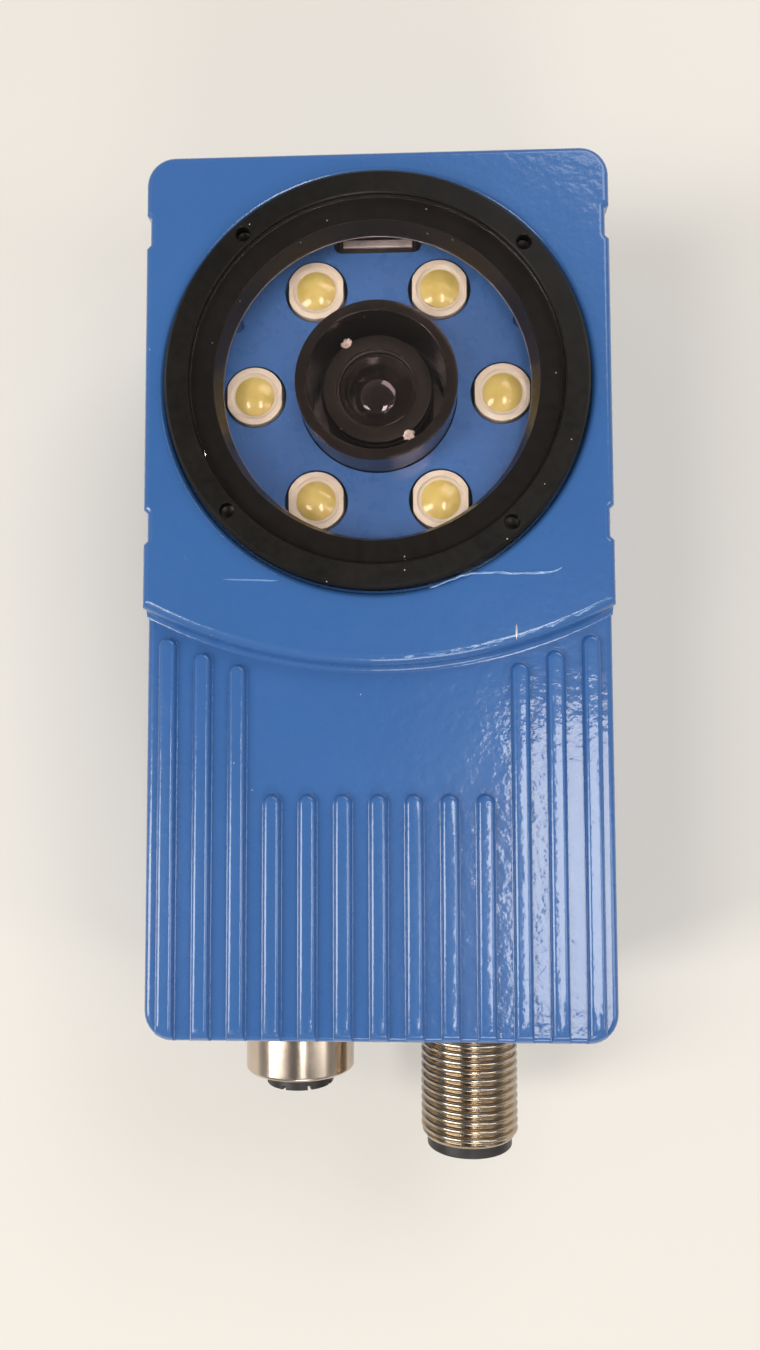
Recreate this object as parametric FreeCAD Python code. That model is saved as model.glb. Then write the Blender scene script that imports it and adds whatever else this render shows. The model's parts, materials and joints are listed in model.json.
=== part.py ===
"""Compact machine vision camera: a cast aluminium housing that lies on its back.

Frame: millimetres. The origin is the centre of the four tapped mounting holes in the
rear face. +Z points out through the window, +Y towards the window end and -Y out
through the two round connectors. Each sub-part goes to parts/NODE.step.
"""
import FreeCAD, Part
import math
import os

from FreeCAD import Vector

# ---------------------------------------------------------------- driving sizes, mm
# Housing outline and front
housing_width = 53.0
housing_length = 101.0
corner_radius = 3.3
edge_chamfer = 0.6
front_face_z = 34.0             # ribbed front face above the rear face
window_step = 2.6               # how far the window end stands above the ribbed face
step_radius = 56.14             # arc between the window end and the ribbed end
step_centre_from_end = 3.0      # arc centre, measured from the window end
step_crown_chamfer = 0.8
step_foot_chamfer = 0.5
step_skirt = 1.6                # how deep the window end is rooted in the ribbed face
side_wall = 2.4
connector_end_wall = 4.0
front_wall = 2.6
cavity_corner_radius = 1.0

# Cooling ribs
rib_count = 13
rib_pitch = 4.0
rib_width = 1.95
rib_height = 0.9
rib_chamfer = 0.4
rib_end_chamfer = 0.85
rib_to_step = 2.0               # gap between a long rib's end and the arc
short_rib_length = 27.5
long_ribs_each_side = 3

# Bracket notches in the two long sides
notch_length = 4.0
notch_depth = 0.45
notch_positions = (7.2, 41.7)

# Rear cover and its screws
cover_thickness = 4.0
screw_column_radius = 3.0
screw_column_to_wall = 2.1
cover_screw_end_offset = 5.0
cover_screw_middle_y = -2.0
cover_screw_radius = 1.5
cover_screw_head_radius = 2.9
cover_screw_head_depth = 1.6
cover_screw_length = 11.0
cover_screw_hex = 2.0
cover_screw_hex_depth = 1.3
cover_screw_spare = 1.5         # hole left beyond the tip of a cover screw
gasket_width = 0.8
gasket_height = 0.7
gasket_inset = 0.95
mounting_spacing_x = 30.0
mounting_spacing_y = 60.0
mounting_hole_radius = 1.65
mounting_hole_depth = 5.5
mounting_boss_radius = 3.5
mounting_boss_height = 2.5

# Window ring, glass and the well behind them
window_y = 23.65
ring_radius = 23.9
ring_gap = 0.3
ring_proud = 1.4
ring_seat_depth = 1.6
ring_thread_radius = 22.35
ring_skirt_wall = 1.75
ring_skirt_length = 3.5
ring_lip_rear_radius = 17.7
ring_lip_front_radius = 18.4
ring_lip_height = 2.6
glass_radius = 21.1
glass_thickness = 1.1
glass_below_ring = 0.25
window_gasket_thickness = 0.5
spanner_circle_radius = 22.4
spanner_hole_radius = 0.83
spanner_hole_depth = 1.0
spanner_holes = 4
spanner_first_angle = 42.0
floor_below_front = 2.8         # well floor below the ribbed front face
floor_thickness = 1.8
floor_slot_width = 10.4
floor_slot_inner = 17.2
floor_slot_outer = 20.0
floor_slot_round = 1.0
dimple_radius = 0.9
dimple_depth = 0.6
dimple_circle_radius = 18.9
dimple_angles = (27.5, 152.5)

# Ring of lamps round the lens
led_count = 6
led_circle_radius = 14.56
led_body_radius = 3.44
led_flat_half_width = 3.2
led_proud = 0.4
led_dome_radius = 2.29
led_dome_height = 0.5
led_dome_shoulder = 1.3         # radius and height where the dome turns flatter
led_dome_shoulder_height = 0.36
led_hole_gap = 0.28
board_thickness = 1.6
led_board_radius = 19.3
led_board_bore = 8.0
led_boss_radius = 1.9
led_boss_height = 0.8
led_screw_inset = 2.0           # from the lamp board's edge to its screws
led_screw_angles = (30.0, 150.0, 270.0)
led_plug_width = 9.2
led_plug_depth = 1.6
led_plug_height = 1.6
led_plug_behind_slot_edge = 0.45
led_strip_margin = 0.46
led_strip_thickness = 0.3
led_strip_depth = 0.7
led_flex_width = 6.0
led_flex_to_post = 2.3
flex_thickness = 0.2
led_flex_drop_y = 5.4
led_flex_top_end_y = 10.0
led_flex_foot_y = 1.5
flex_bend = 0.6

# Light baffle tube round the lens
baffle_radius = 9.23
baffle_bore = 7.96
baffle_below_glass = 0.15
baffle_flange_radius = 10.6

# Focusing optics
lens_head_radius = 6.6
lens_head_length = 8.9
lens_front_below_front_face = 0.6
lens_stem_radius = 6.0
lens_stem_length = 9.3
lens_front_bore = 4.4
lens_rear_bore = 4.0
lens_middle_bore = 3.2
lens_retainer_below_rim = 0.5
lens_retainer_height = 1.9
lens_retainer_mouth = 3.9
lens_aperture = 2.37
front_lens_height = 2.9
front_lens_bulge = 0.5
front_lens_shoulder = 1.3       # radius and height where its dome turns flatter
front_lens_shoulder_height = 0.36
rear_lens_height = 3.4
rear_lens_inset = 0.4
carriage_z = 17.0
carriage_height = 6.0
carriage_wall = 2.2
carriage_lobe_wall = 1.5
carriage_arm_width = 4.4
guide_rod_radius = 1.25
guide_rod_x = 13.5
guide_rod_spare = 2.4           # rod left above the carriage at the end of its travel
focus_offset = 13.0             # focus screw below the lens axis
focus_travel = 1.0              # each way from the middle
focus_screw_radius = 1.5
focus_screw_spare = 1.4
focus_head_radius = 2.4
focus_head_height = 2.4
focus_head_inset = 0.6
focus_hex = 2.0
focus_hex_depth = 1.4
focus_hole_gap = 0.35           # round the screw, where it passes the boards
focus_groove_depth = 0.75
focus_groove_height = 0.9
focus_boss_radius = 4.0
focus_clip_radius = 2.8
focus_clip_height = 0.6
focus_clip_mouth = 2.4

# Optics frame and sensor board
sensor_board_z = 9.0
sensor_board_half = 15.0
frame_thickness = 2.0
frame_side_gap = 1.2            # from the frame to the side wall
frame_half_y = 16.0
frame_window_half = 8.2
frame_post_inset = 2.4
frame_post_y = 13.0
frame_post_radius = 2.6
sensor_screw_offset = 13.0
sensor_package = 14.0
sensor_package_height = 1.3
sensor_glass_size = 11.5
sensor_glass_thickness = 0.5
sensor_flex_x = 6.6
sensor_flex_width = 7.2
sensor_flex_overlap = 3.0

# Processor board
processor_side_gap = 6.1        # from the board to the side wall
processor_board_low_y = -32.0
processor_board_high_y = 5.0
processor_post_side_inset = 2.5
processor_post_inset = 3.0
processor_post_radius = 2.2
processor_chip_size = 16.0
processor_chip_height = 1.6
processor_chip_y = -12.0
thermal_pad_height = 1.0
pedestal_margin = 1.0
memory_chip_to_post = 0.3
memory_chip_y = -4.0
memory_chip_width = 10.0
memory_chip_length = 8.0
memory_chip_height = 1.1

# Small screws
small_screw_radius = 1.2
small_screw_bite = 3.6
small_screw_hole_depth = 4.8
small_head_radius = 2.1         # over the corners of the hexagon head
small_head_height = 1.4
tiny_screw_radius = 0.9
tiny_head_radius = 1.8
tiny_head_height = 1.2

# Connectors
connector_z = 18.3
connector_from_side = 15.9
collar_step = 0.15              # collar in the end wall, over the larger sleeve
flange_lip = 0.7
flange_thickness = 1.6
connector_gasket_thickness = 0.5
connector_rear_radius = 6.5
connector_rear_y = -41.5
plug_radius = 6.0
plug_reach = 15.25              # threaded sleeve beyond the housing
plug_chamfer = 0.5
plug_insert_radius = 5.25
plug_insert_reach = 16.6
plug_cavity_radius = 4.3
plug_cavity_depth = 8.0
plug_pin_radius = 0.38
plug_pin_recess = 1.1
plug_outer_pins = 9
plug_outer_pin_circle = 2.75
plug_inner_pins = 3
plug_inner_pin_circle = 1.05
plug_key_width = 1.0
plug_key_depth = 0.5
socket_radius = 6.75
socket_reach = 7.35
socket_chamfer = 0.4
socket_thread_radius = 5.46
socket_thread_depth = 8.3
socket_insert_radius = 4.15
socket_insert_reach = 9.15
socket_teeth = 8
socket_tooth_gap = 0.5
socket_tooth_height = 1.0
socket_tooth_wall = 0.9
socket_contacts = 4
socket_contact_circle = 2.0
socket_contact_radius = 0.5
socket_contact_bore = 0.3
bracket_column_gap = 0.4        # from the bracket to the columns of the end screws
bracket_half_z = 9.3
bracket_thickness = 1.5
bracket_corner = 1.5
bracket_screw_offset = 7.5
bracket_boss_radius = 2.2
bracket_screw_bite = 4.2
io_board_y = -39.0
io_board_side_gap = 5.1         # from the board to the side wall
io_board_half_z = 10.0
standoff_inset = 3.2
standoff_z = 7.2
standoff_radius = 1.8
header_half_x = 9.0
header_height = 4.2
header_overlap = 2.6

# Clearances
seat_gap = 0.02                 # round pieces seated in one another
pass_gap = 0.1                  # round pieces that pass through a hole
running_gap = 0.05              # shafts that turn or slide
cut_past = 1.0                  # how far a cutter reaches past the metal
hex_points = 6
peg_points = 8

# ------------------------------------------------------------ levels worked out once
half_width = housing_width / 2
half_length = housing_length / 2
inner_half_x = half_width - side_wall
inner_half_y = half_length - side_wall
window_face_z = front_face_z + window_step
shell_z = cover_thickness
ring_top_z = window_face_z + ring_proud
ring_seat_z = window_face_z - ring_seat_depth
ring_flange_z = ring_seat_z + window_gasket_thickness
ring_bottom_z = ring_flange_z - ring_skirt_length
glass_top_z = ring_top_z - glass_below_ring
glass_z = glass_top_z - glass_thickness
floor_z = front_face_z - floor_below_front
floor_under_z = floor_z - floor_thickness
ribbed_ceiling_z = front_face_z - front_wall
well_radius = ring_thread_radius + pass_gap
recess_radius = ring_radius + ring_gap
led_board_top_z = floor_under_z - led_boss_height
led_board_z = led_board_top_z - board_thickness
led_screw_circle_radius = led_board_radius - led_screw_inset
frame_z = sensor_board_z + board_thickness
frame_top_z = frame_z + frame_thickness
lens_rim_z = front_face_z - lens_front_below_front_face
lens_shoulder_z = lens_rim_z - lens_head_length
lens_rear_z = lens_shoulder_z - lens_stem_length
focus_y = window_y - focus_offset
carriage_top_z = carriage_z + carriage_height
guide_rod_top_z = carriage_top_z + focus_travel + guide_rod_spare
focus_screw_top_z = carriage_top_z + focus_travel + focus_screw_spare
end_wall_y = connector_end_wall - half_length
flange_y = end_wall_y + connector_gasket_thickness
bracket_y = flange_y + flange_thickness
bracket_inner_y = bracket_y + bracket_thickness
io_board_inner_y = io_board_y + board_thickness
processor_top_z = sensor_board_z + board_thickness
screw_column_x = inner_half_x - screw_column_to_wall
frame_half_x = inner_half_x - frame_side_gap
frame_post_x = frame_half_x - frame_post_inset
processor_board_half_x = inner_half_x - processor_side_gap
processor_post_x = processor_board_half_x - processor_post_side_inset
processor_post_inner_x = processor_post_x - processor_post_radius
memory_chip_x = processor_post_inner_x - memory_chip_to_post - memory_chip_width / 2
led_flex_x = led_flex_to_post + led_flex_width / 2 - processor_post_inner_x
connector_x = half_width - connector_from_side
collar_radius = socket_radius + collar_step
flange_radius = collar_radius + flange_lip
bracket_half_x = screw_column_x - screw_column_radius - bracket_column_gap
io_board_half_x = inner_half_x - io_board_side_gap
standoff_x = io_board_half_x - standoff_inset
step_centre_y = half_length - step_centre_from_end


# ------------------------------------------------------------------- building blocks
def disc(radius, z_low, z_high, x=0.0, y=0.0):
    """Round bar that stands on Z."""
    return Part.makeCylinder(radius, z_high - z_low, Vector(x, y, z_low))


def bar(radius, y_low, y_high, x, z):
    """Round bar that lies along Y."""
    return Part.makeCylinder(radius, y_high - y_low, Vector(x, y_low, z), Vector(0, 1, 0))


def block(x_low, x_high, y_low, y_high, z_low, z_high):
    return Part.makeBox(x_high - x_low, y_high - y_low, z_high - z_low,
                        Vector(x_low, y_low, z_low))


def polygon_prism(points, z_low, z_high):
    corners = [Vector(x, y, z_low) for x, y in points]
    face = Part.Face(Part.makePolygon(corners + corners[:1]))
    return face.extrude(Vector(0, 0, z_high - z_low))


def regular_prism(sides, corner_radius, z_low, z_high, x, y):
    """Upright prism with evenly spaced corners and one pair of flats facing X."""
    turns = [2 * math.pi * (index + 0.5) / sides for index in range(sides)]
    points = [(x + corner_radius * math.cos(turn), y + corner_radius * math.sin(turn))
              for turn in turns]
    return polygon_prism(points, z_low, z_high)


def hexagon_prism(across_flats, z_low, z_high, x, y):
    corner = across_flats / 2 / math.cos(math.pi / hex_points)
    return regular_prism(hex_points, corner, z_low, z_high, x, y)


def peg(radius, z_low, z_high, x, y):
    """Small upright post, shank or hole inside the housing, drawn with eight flats."""
    return regular_prism(peg_points, radius, z_low, z_high, x, y)


def laid_along_y(upright, y_low, x, z):
    """Lay a shape that stands on the origin along +Y, from (x, y_low, z)."""
    upright.rotate(Vector(0, 0, 0), Vector(1, 0, 0), -90)
    upright.translate(Vector(x, y_low, z))
    return upright


def peg_along_y(radius, y_low, y_high, x, z):
    return laid_along_y(peg(radius, 0.0, y_high - y_low, 0.0, 0.0), y_low, x, z)


def rounded_block(x_low, x_high, y_low, y_high, z_low, z_high, radius):
    """Block whose four upright edges are rounded."""
    shape = block(x_low, x_high, y_low, y_high, z_low, z_high)
    upright = [edge for edge in shape.Edges if edge.BoundBox.ZLength > (z_high - z_low) / 2]
    return shape.makeFillet(radius, upright)


def housing_outline(z_low, z_high, inset=0.0):
    """The housing's outline, drawn in by inset, as a solid between two levels."""
    return rounded_block(inset - half_width, half_width - inset,
                         inset - half_length, half_length - inset,
                         z_low, z_high, corner_radius - inset)


def edges_at_level(shape, z):
    """Edges that lie flat at one level."""
    near = 1e-6
    return [edge for edge in shape.Edges
            if abs(edge.BoundBox.ZMin - z) < near and abs(edge.BoundBox.ZMax - z) < near]


def turned(points, x=0.0, y=0.0):
    """Turn a closed (radius, z) outline about an upright axis."""
    corners = [Vector(x + radius, y, z) for radius, z in points]
    face = Part.Face(Part.makePolygon(corners + corners[:1]))
    return face.revolve(Vector(x, y, 0), Vector(0, 0, 1), 360)


def turned_along_y(points, x, z):
    """Turn a closed (radius, y) outline about an axis along Y."""
    corners = [Vector(x + radius, y, z) for radius, y in points]
    face = Part.Face(Part.makePolygon(corners + corners[:1]))
    return face.revolve(Vector(x, 0, z), Vector(0, 1, 0), 360)


def round_places(count, radius, first_angle=0.0):
    """Evenly spaced places on a circle, as (x, y) from its centre."""
    places = []
    for index in range(count):
        turn = math.radians(first_angle) + 2 * math.pi * index / count
        places.append((radius * math.cos(turn), radius * math.sin(turn)))
    return places


def polar(radius, angle):
    turn = math.radians(angle)
    return radius * math.cos(turn), radius * math.sin(turn)


def hex_screw(x, y, seat_z, tip_z, shank, head, head_height):
    """Screw driven upwards: its hexagon head hangs below seat_z."""
    return peg(shank, seat_z, tip_z, x, y).fuse(
        regular_prism(hex_points, head, seat_z - head_height, seat_z, x, y))


def hex_screw_along_y(x, z, seat_y, tip_y, shank, head, head_height):
    """Screw driven towards -Y: its hexagon head stands behind seat_y."""
    screw = hex_screw(0.0, 0.0, 0.0, seat_y - tip_y, shank, head, head_height)
    screw.rotate(Vector(0, 0, 0), Vector(1, 0, 0), 90)
    screw.translate(Vector(x, seat_y, z))
    return screw


def save(name, shape):
    shape.exportStep("parts/" + name + ".step")


os.makedirs("parts", exist_ok=True)


# ---------------------------------------------------------------------- housing shell
cover_screw_places = [(side * screw_column_x, y)
                      for side in (-1, 1)
                      for y in (cover_screw_end_offset - half_length, cover_screw_middle_y,
                                half_length - cover_screw_end_offset)]
frame_post_places = [(side * frame_post_x, window_y + end * frame_post_y)
                     for side in (-1, 1) for end in (-1, 1)]
processor_post_places = [(side * processor_post_x, y)
                         for side in (-1, 1)
                         for y in (processor_board_low_y + processor_post_inset,
                                   processor_board_high_y - processor_post_inset)]
led_screw_places = []
for screw_angle in led_screw_angles:
    screw_x, screw_y = polar(led_screw_circle_radius, screw_angle)
    led_screw_places.append((screw_x, window_y + screw_y))
led_places = [(x, window_y + y) for x, y in round_places(led_count, led_circle_radius)]


def step_arc_y(x):
    """Where the arc between the two front levels crosses a given x."""
    return step_centre_y - math.sqrt(step_radius ** 2 - x ** 2)


def window_end():
    """Raised end of the casting, bounded by an arc that has a chamfer at top and foot."""
    low_z = front_face_z - step_skirt
    foot_radius = step_radius + step_foot_chamfer
    plate = turned([(0, low_z), (foot_radius, low_z), (foot_radius, front_face_z),
                    (step_radius, front_face_z + step_foot_chamfer),
                    (step_radius, window_face_z - step_crown_chamfer),
                    (step_radius - step_crown_chamfer, window_face_z),
                    (0, window_face_z)], 0.0, step_centre_y)
    body = housing_outline(low_z, window_face_z)
    body = body.makeChamfer(edge_chamfer, edges_at_level(body, window_face_z))
    return body.common(plate)


def cooling_ribs():
    """Ribs from the connector end, long at the sides and short in the middle."""
    low_z = front_face_z - rib_height
    high_z = front_face_z + rib_height
    shoulder_z = high_z - rib_chamfer
    envelope = housing_outline(low_z, high_z)
    envelope = envelope.makeChamfer(rib_end_chamfer, edges_at_level(envelope, high_z))
    half = rib_width / 2
    crest = half - rib_chamfer
    ribs = []
    for index in range(rib_count):
        x = (index - (rib_count - 1) / 2) * rib_pitch
        is_long = min(index, rib_count - 1 - index) < long_ribs_each_side
        top_y = step_arc_y(x) - rib_to_step if is_long else short_rib_length - half_length
        section = [(x - half, low_z), (x + half, low_z), (x + half, shoulder_z),
                   (x + crest, high_z), (x - crest, high_z), (x - half, shoulder_z)]
        corners = [Vector(section_x, -half_length - cut_past, z) for section_x, z in section]
        face = Part.Face(Part.makePolygon(corners + corners[:1]))
        run = face.extrude(Vector(0, top_y - half + half_length + cut_past, 0))
        end = turned([(0, low_z), (half, low_z), (half, shoulder_z), (crest, high_z),
                      (0, high_z)], x, top_y - half)
        ribs.append(run.fuse(end).removeSplitter().common(envelope))
    return ribs


def cut_notches(shape):
    """Shallow bracket notches with sloping ends, cut in both long sides."""
    half = notch_length / 2
    for side in (-1, 1):
        outer = side * (half_width + notch_depth)
        inner = side * (half_width - notch_depth)
        for y in notch_positions:
            points = [(outer, y - half - notch_depth), (outer, y + half + notch_depth),
                      (inner, y + half - notch_depth), (inner, y - half + notch_depth)]
            shape = shape.cut(polygon_prism(points, 0.0, window_face_z))
    return shape


def front_housing():
    body = housing_outline(shell_z, front_face_z)
    body = body.makeChamfer(edge_chamfer, edges_at_level(body, front_face_z))
    body = body.fuse([window_end()] + cooling_ribs()).removeSplitter()
    body = cut_notches(body)

    # Hollow inside, with a higher ceiling under the ribs than behind the window.
    well_edge_y = window_y - well_radius - side_wall
    body = body.cut(rounded_block(-inner_half_x, inner_half_x, end_wall_y, inner_half_y,
                                  shell_z, floor_under_z, cavity_corner_radius))
    body = body.cut(rounded_block(-inner_half_x, inner_half_x, end_wall_y, well_edge_y,
                                  shell_z, ribbed_ceiling_z, cavity_corner_radius))

    # Columns for the cover screws, posts for the boards, bosses for the lamp board.
    additions = [peg(screw_column_radius, shell_z, floor_under_z, x, y)
                 for x, y in cover_screw_places]
    additions += [peg(frame_post_radius, frame_top_z, floor_under_z, x, y)
                  for x, y in frame_post_places]
    additions += [peg(processor_post_radius, processor_top_z, ribbed_ceiling_z, x, y)
                  for x, y in processor_post_places]
    additions += [peg(led_boss_radius, led_board_top_z, floor_under_z, x, y)
                  for x, y in led_screw_places]
    additions += [peg_along_y(bracket_boss_radius, end_wall_y, bracket_y, 0.0,
                              connector_z + end * bracket_screw_offset) for end in (-1, 1)]
    body = body.fuse(additions).removeSplitter()

    # Window well, with its seat, and the openings in its floor.
    cuts = [disc(well_radius, floor_z, window_face_z, 0.0, window_y),
            disc(recess_radius, ring_seat_z, window_face_z, 0.0, window_y),
            disc(baffle_radius + pass_gap, floor_under_z, floor_z, 0.0, window_y),
            floor_slot()]
    cuts += [disc(led_body_radius + led_hole_gap, floor_under_z, floor_z, x, y)
             for x, y in led_places]
    for angle in dimple_angles:
        x, y = polar(dimple_circle_radius, angle)
        cuts.append(peg(dimple_radius, floor_z - dimple_depth, floor_z, x, window_y + y))

    # Tapped holes, the gasket groove and the two connector holes.
    cuts += [peg(cover_screw_radius + seat_gap, shell_z,
                 cover_screw_length + cover_screw_spare, x, y)
             for x, y in cover_screw_places]
    cuts += [peg(small_screw_radius + seat_gap, frame_top_z,
                 frame_top_z + small_screw_hole_depth, x, y)
             for x, y in frame_post_places]
    cuts += [peg(small_screw_radius + seat_gap, processor_top_z,
                 processor_top_z + small_screw_hole_depth, x, y)
             for x, y in processor_post_places]
    cuts += [peg(tiny_screw_radius + seat_gap, led_board_top_z,
                 floor_under_z + led_boss_height, x, y)
             for x, y in led_screw_places]
    cuts += [peg_along_y(small_screw_radius + seat_gap,
                         bracket_y - bracket_screw_bite - seat_gap,
                         bracket_y, 0.0, connector_z + end * bracket_screw_offset)
             for end in (-1, 1)]
    cuts += [bar(collar_radius + pass_gap, -half_length - cut_past, end_wall_y,
                 side * connector_x, connector_z) for side in (-1, 1)]
    for cutter in cuts:
        body = body.cut(cutter)
    groove_outer = housing_outline(shell_z, shell_z + gasket_height, gasket_inset - seat_gap)
    groove_inner = housing_outline(shell_z, shell_z + gasket_height,
                                   gasket_inset + gasket_width + seat_gap)
    return body.cut(groove_outer.cut(groove_inner))


def floor_slot():
    """Slot at the top of the well floor, over the lamp board's plug."""
    half = floor_slot_width / 2
    return rounded_block(-half, half, window_y + floor_slot_inner,
                         window_y + floor_slot_outer, floor_under_z, floor_z,
                         floor_slot_round)


save("front_housing", front_housing())


# ------------------------------------------------------------------ rear cover, gasket
mounting_places = [(x * mounting_spacing_x / 2, y * mounting_spacing_y / 2)
                   for x in (-1, 1) for y in (-1, 1)]
pedestal_height = sensor_board_z - processor_chip_height - thermal_pad_height
pedestal_half = processor_chip_size / 2 + pedestal_margin
focus_shoulder_z = focus_head_inset + focus_head_height
focus_boss_z = cover_thickness + mounting_boss_height


def rear_cover():
    cover = housing_outline(0.0, cover_thickness)
    cover = cover.makeChamfer(edge_chamfer, edges_at_level(cover, 0.0))
    cover = cut_notches(cover)
    root_z = cover_thickness / 2
    additions = [peg(mounting_boss_radius, root_z, cover_thickness + mounting_boss_height,
                     x, y) for x, y in mounting_places]
    additions.append(peg(focus_boss_radius, root_z, focus_boss_z, 0.0, focus_y))
    additions.append(block(-pedestal_half, pedestal_half, processor_chip_y - pedestal_half,
                           processor_chip_y + pedestal_half, root_z, pedestal_height))
    cover = cover.fuse(additions).removeSplitter()
    for x, y in mounting_places:
        cover = cover.cut(disc(mounting_hole_radius, 0.0, mounting_hole_depth, x, y))
    head = cover_screw_head_radius + seat_gap
    shank = cover_screw_radius + pass_gap
    for x, y in cover_screw_places:
        cover = cover.cut(turned([(0, 0), (head, 0), (shank, cover_screw_head_depth),
                                  (0, cover_screw_head_depth)], x, y))
        cover = cover.cut(peg(shank, 0.0, cover_thickness, x, y))
    cover = cover.cut(disc(focus_head_radius + running_gap, 0.0, focus_shoulder_z,
                           0.0, focus_y))
    return cover.cut(disc(focus_screw_radius + running_gap, focus_shoulder_z, focus_boss_z,
                          0.0, focus_y))


def cover_gasket():
    outer = housing_outline(shell_z, shell_z + gasket_height, gasket_inset)
    inner = housing_outline(shell_z, shell_z + gasket_height, gasket_inset + gasket_width)
    return outer.cut(inner)


def cover_screws():
    """Countersunk socket screws that hold the rear cover."""
    screws = []
    for x, y in cover_screw_places:
        head = turned([(0, 0), (cover_screw_head_radius, 0),
                       (cover_screw_radius, cover_screw_head_depth),
                       (0, cover_screw_head_depth)], x, y)
        screw = head.fuse(peg(cover_screw_radius, cover_screw_head_depth,
                              cover_screw_length, x, y))
        screws.append(screw.cut(hexagon_prism(cover_screw_hex, 0.0, cover_screw_hex_depth,
                                              x, y)))
    return Part.makeCompound(screws)


save("rear_cover", rear_cover())
save("cover_gasket", cover_gasket())
save("cover_screws", cover_screws())


# -------------------------------------------------------------------- window assembly
def window_ring():
    """Screwed retaining ring with a conical lip inside and four spanner holes."""
    skirt_inner = ring_thread_radius - ring_skirt_wall
    lip_z = glass_z - ring_lip_height
    seat = glass_radius + seat_gap
    ring = turned([(seat, ring_top_z), (ring_radius, ring_top_z),
                   (ring_radius, ring_flange_z),
                   (ring_thread_radius, ring_flange_z), (ring_thread_radius, ring_bottom_z),
                   (skirt_inner, ring_bottom_z), (skirt_inner, lip_z),
                   (ring_lip_rear_radius, lip_z), (ring_lip_front_radius, glass_z),
                   (seat, glass_z)], 0.0, window_y)
    for x, y in round_places(spanner_holes, spanner_circle_radius, spanner_first_angle):
        ring = ring.cut(disc(spanner_hole_radius, ring_top_z - spanner_hole_depth, ring_top_z,
                             x, window_y + y))
    return ring


def window_glass():
    return disc(glass_radius, glass_z, glass_top_z, 0.0, window_y)


def window_gasket():
    outer = disc(ring_radius - pass_gap, ring_seat_z, ring_flange_z, 0.0, window_y)
    return outer.cut(disc(well_radius + pass_gap, ring_seat_z, ring_flange_z, 0.0, window_y))


save("window_ring", window_ring())
save("window_glass", window_glass())
save("window_gasket", window_gasket())


# ---------------------------------------------------------------------- lamps
led_body_top_z = floor_z + led_proud


def led_body(x, y):
    """Round lamp body with two flats."""
    body = disc(led_body_radius, led_board_top_z, led_body_top_z, x, y)
    reach = led_body_radius + cut_past
    return body.common(block(x - led_flat_half_width, x + led_flat_half_width,
                             y - reach, y + reach, led_board_top_z, led_body_top_z))


def low_dome(foot, shoulder, shoulder_height, height, z, x, y):
    """Shallow dome that stands on z: steep to its shoulder, then flatter."""
    return turned([(0, z), (foot, z), (shoulder, z + shoulder_height), (0, z + height)], x, y)


def led_dome(x, y):
    return low_dome(led_dome_radius, led_dome_shoulder, led_dome_shoulder_height,
                    led_dome_height, led_body_top_z, x, y)


for led_index, (led_x, led_y) in enumerate(led_places, start=1):
    save("led_body_%d" % led_index, led_body(led_x, led_y))
    save("led_dome_%d" % led_index, led_dome(led_x, led_y))


def led_board():
    board = disc(led_board_radius, led_board_z, led_board_top_z, 0.0, window_y)
    board = board.cut(disc(led_board_bore, led_board_z, led_board_top_z, 0.0, window_y))
    for x, y in led_screw_places:
        board = board.cut(peg(tiny_screw_radius + pass_gap, led_board_z, led_board_top_z,
                              x, y))
    return board


def led_board_screws():
    return Part.makeCompound([
        hex_screw(x, y, led_board_z, floor_under_z + led_boss_height / 2,
                  tiny_screw_radius, tiny_head_radius, tiny_head_height)
        for x, y in led_screw_places])


def led_plug():
    """Board plug under the floor slot: a moulding and the metal strip on it."""
    half = led_plug_width / 2
    y_low = window_y + floor_slot_inner + led_plug_behind_slot_edge
    y_high = y_low + led_plug_depth
    top_z = led_board_top_z + led_plug_height
    moulding = block(-half, half, y_low, y_high, led_board_top_z, top_z)
    strip_y = (y_low + y_high) / 2
    strip_half = half - led_strip_margin
    strip = block(-strip_half, strip_half, strip_y - led_strip_depth / 2,
                  strip_y + led_strip_depth / 2, top_z, top_z + led_strip_thickness)
    return Part.makeCompound([moulding, strip])


def edges_along_x(shape, places):
    """Edges along X that stand at one of the given (y, z) places."""
    near = 1e-4
    return [edge for edge in shape.Edges for y, z in places
            if abs(edge.BoundBox.YMin - y) + abs(edge.BoundBox.YMax - y) < near
            and abs(edge.BoundBox.ZMin - z) + abs(edge.BoundBox.ZMax - z) < near]


def led_flex():
    """Flat cable from the lamp board down to the processor board, bent twice."""
    low_z = processor_top_z
    high_z = led_board_z
    drop_y = led_flex_drop_y
    outer_y = drop_y + flex_thickness
    outline = [(led_flex_foot_y, low_z), (outer_y, low_z),
               (outer_y, high_z - flex_thickness),
               (led_flex_top_end_y, high_z - flex_thickness), (led_flex_top_end_y, high_z),
               (drop_y, high_z), (drop_y, low_z + flex_thickness),
               (led_flex_foot_y, low_z + flex_thickness)]
    corners = [Vector(led_flex_x - led_flex_width / 2, y, z) for y, z in outline]
    face = Part.Face(Part.makePolygon(corners + corners[:1]))
    strip = face.extrude(Vector(led_flex_width, 0, 0))
    strip = strip.makeFillet(flex_bend, edges_along_x(
        strip, [(outer_y, high_z - flex_thickness), (drop_y, low_z + flex_thickness)]))
    return strip.makeFillet(flex_bend + flex_thickness, edges_along_x(
        strip, [(outer_y, low_z), (drop_y, high_z)]))


save("led_board", led_board())
save("led_board_screws", led_board_screws())
save("led_plug", led_plug())
save("led_flex", led_flex())


# ---------------------------------------------------------------------- optics
def light_baffle():
    """Tube round the lens; its flange is held between the floor and the lamp board."""
    top_z = glass_z - baffle_below_glass
    return turned([(baffle_bore, led_board_top_z), (baffle_flange_radius, led_board_top_z),
                   (baffle_flange_radius, floor_under_z), (baffle_radius, floor_under_z),
                   (baffle_radius, top_z), (baffle_bore, top_z)], 0.0, window_y)


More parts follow.
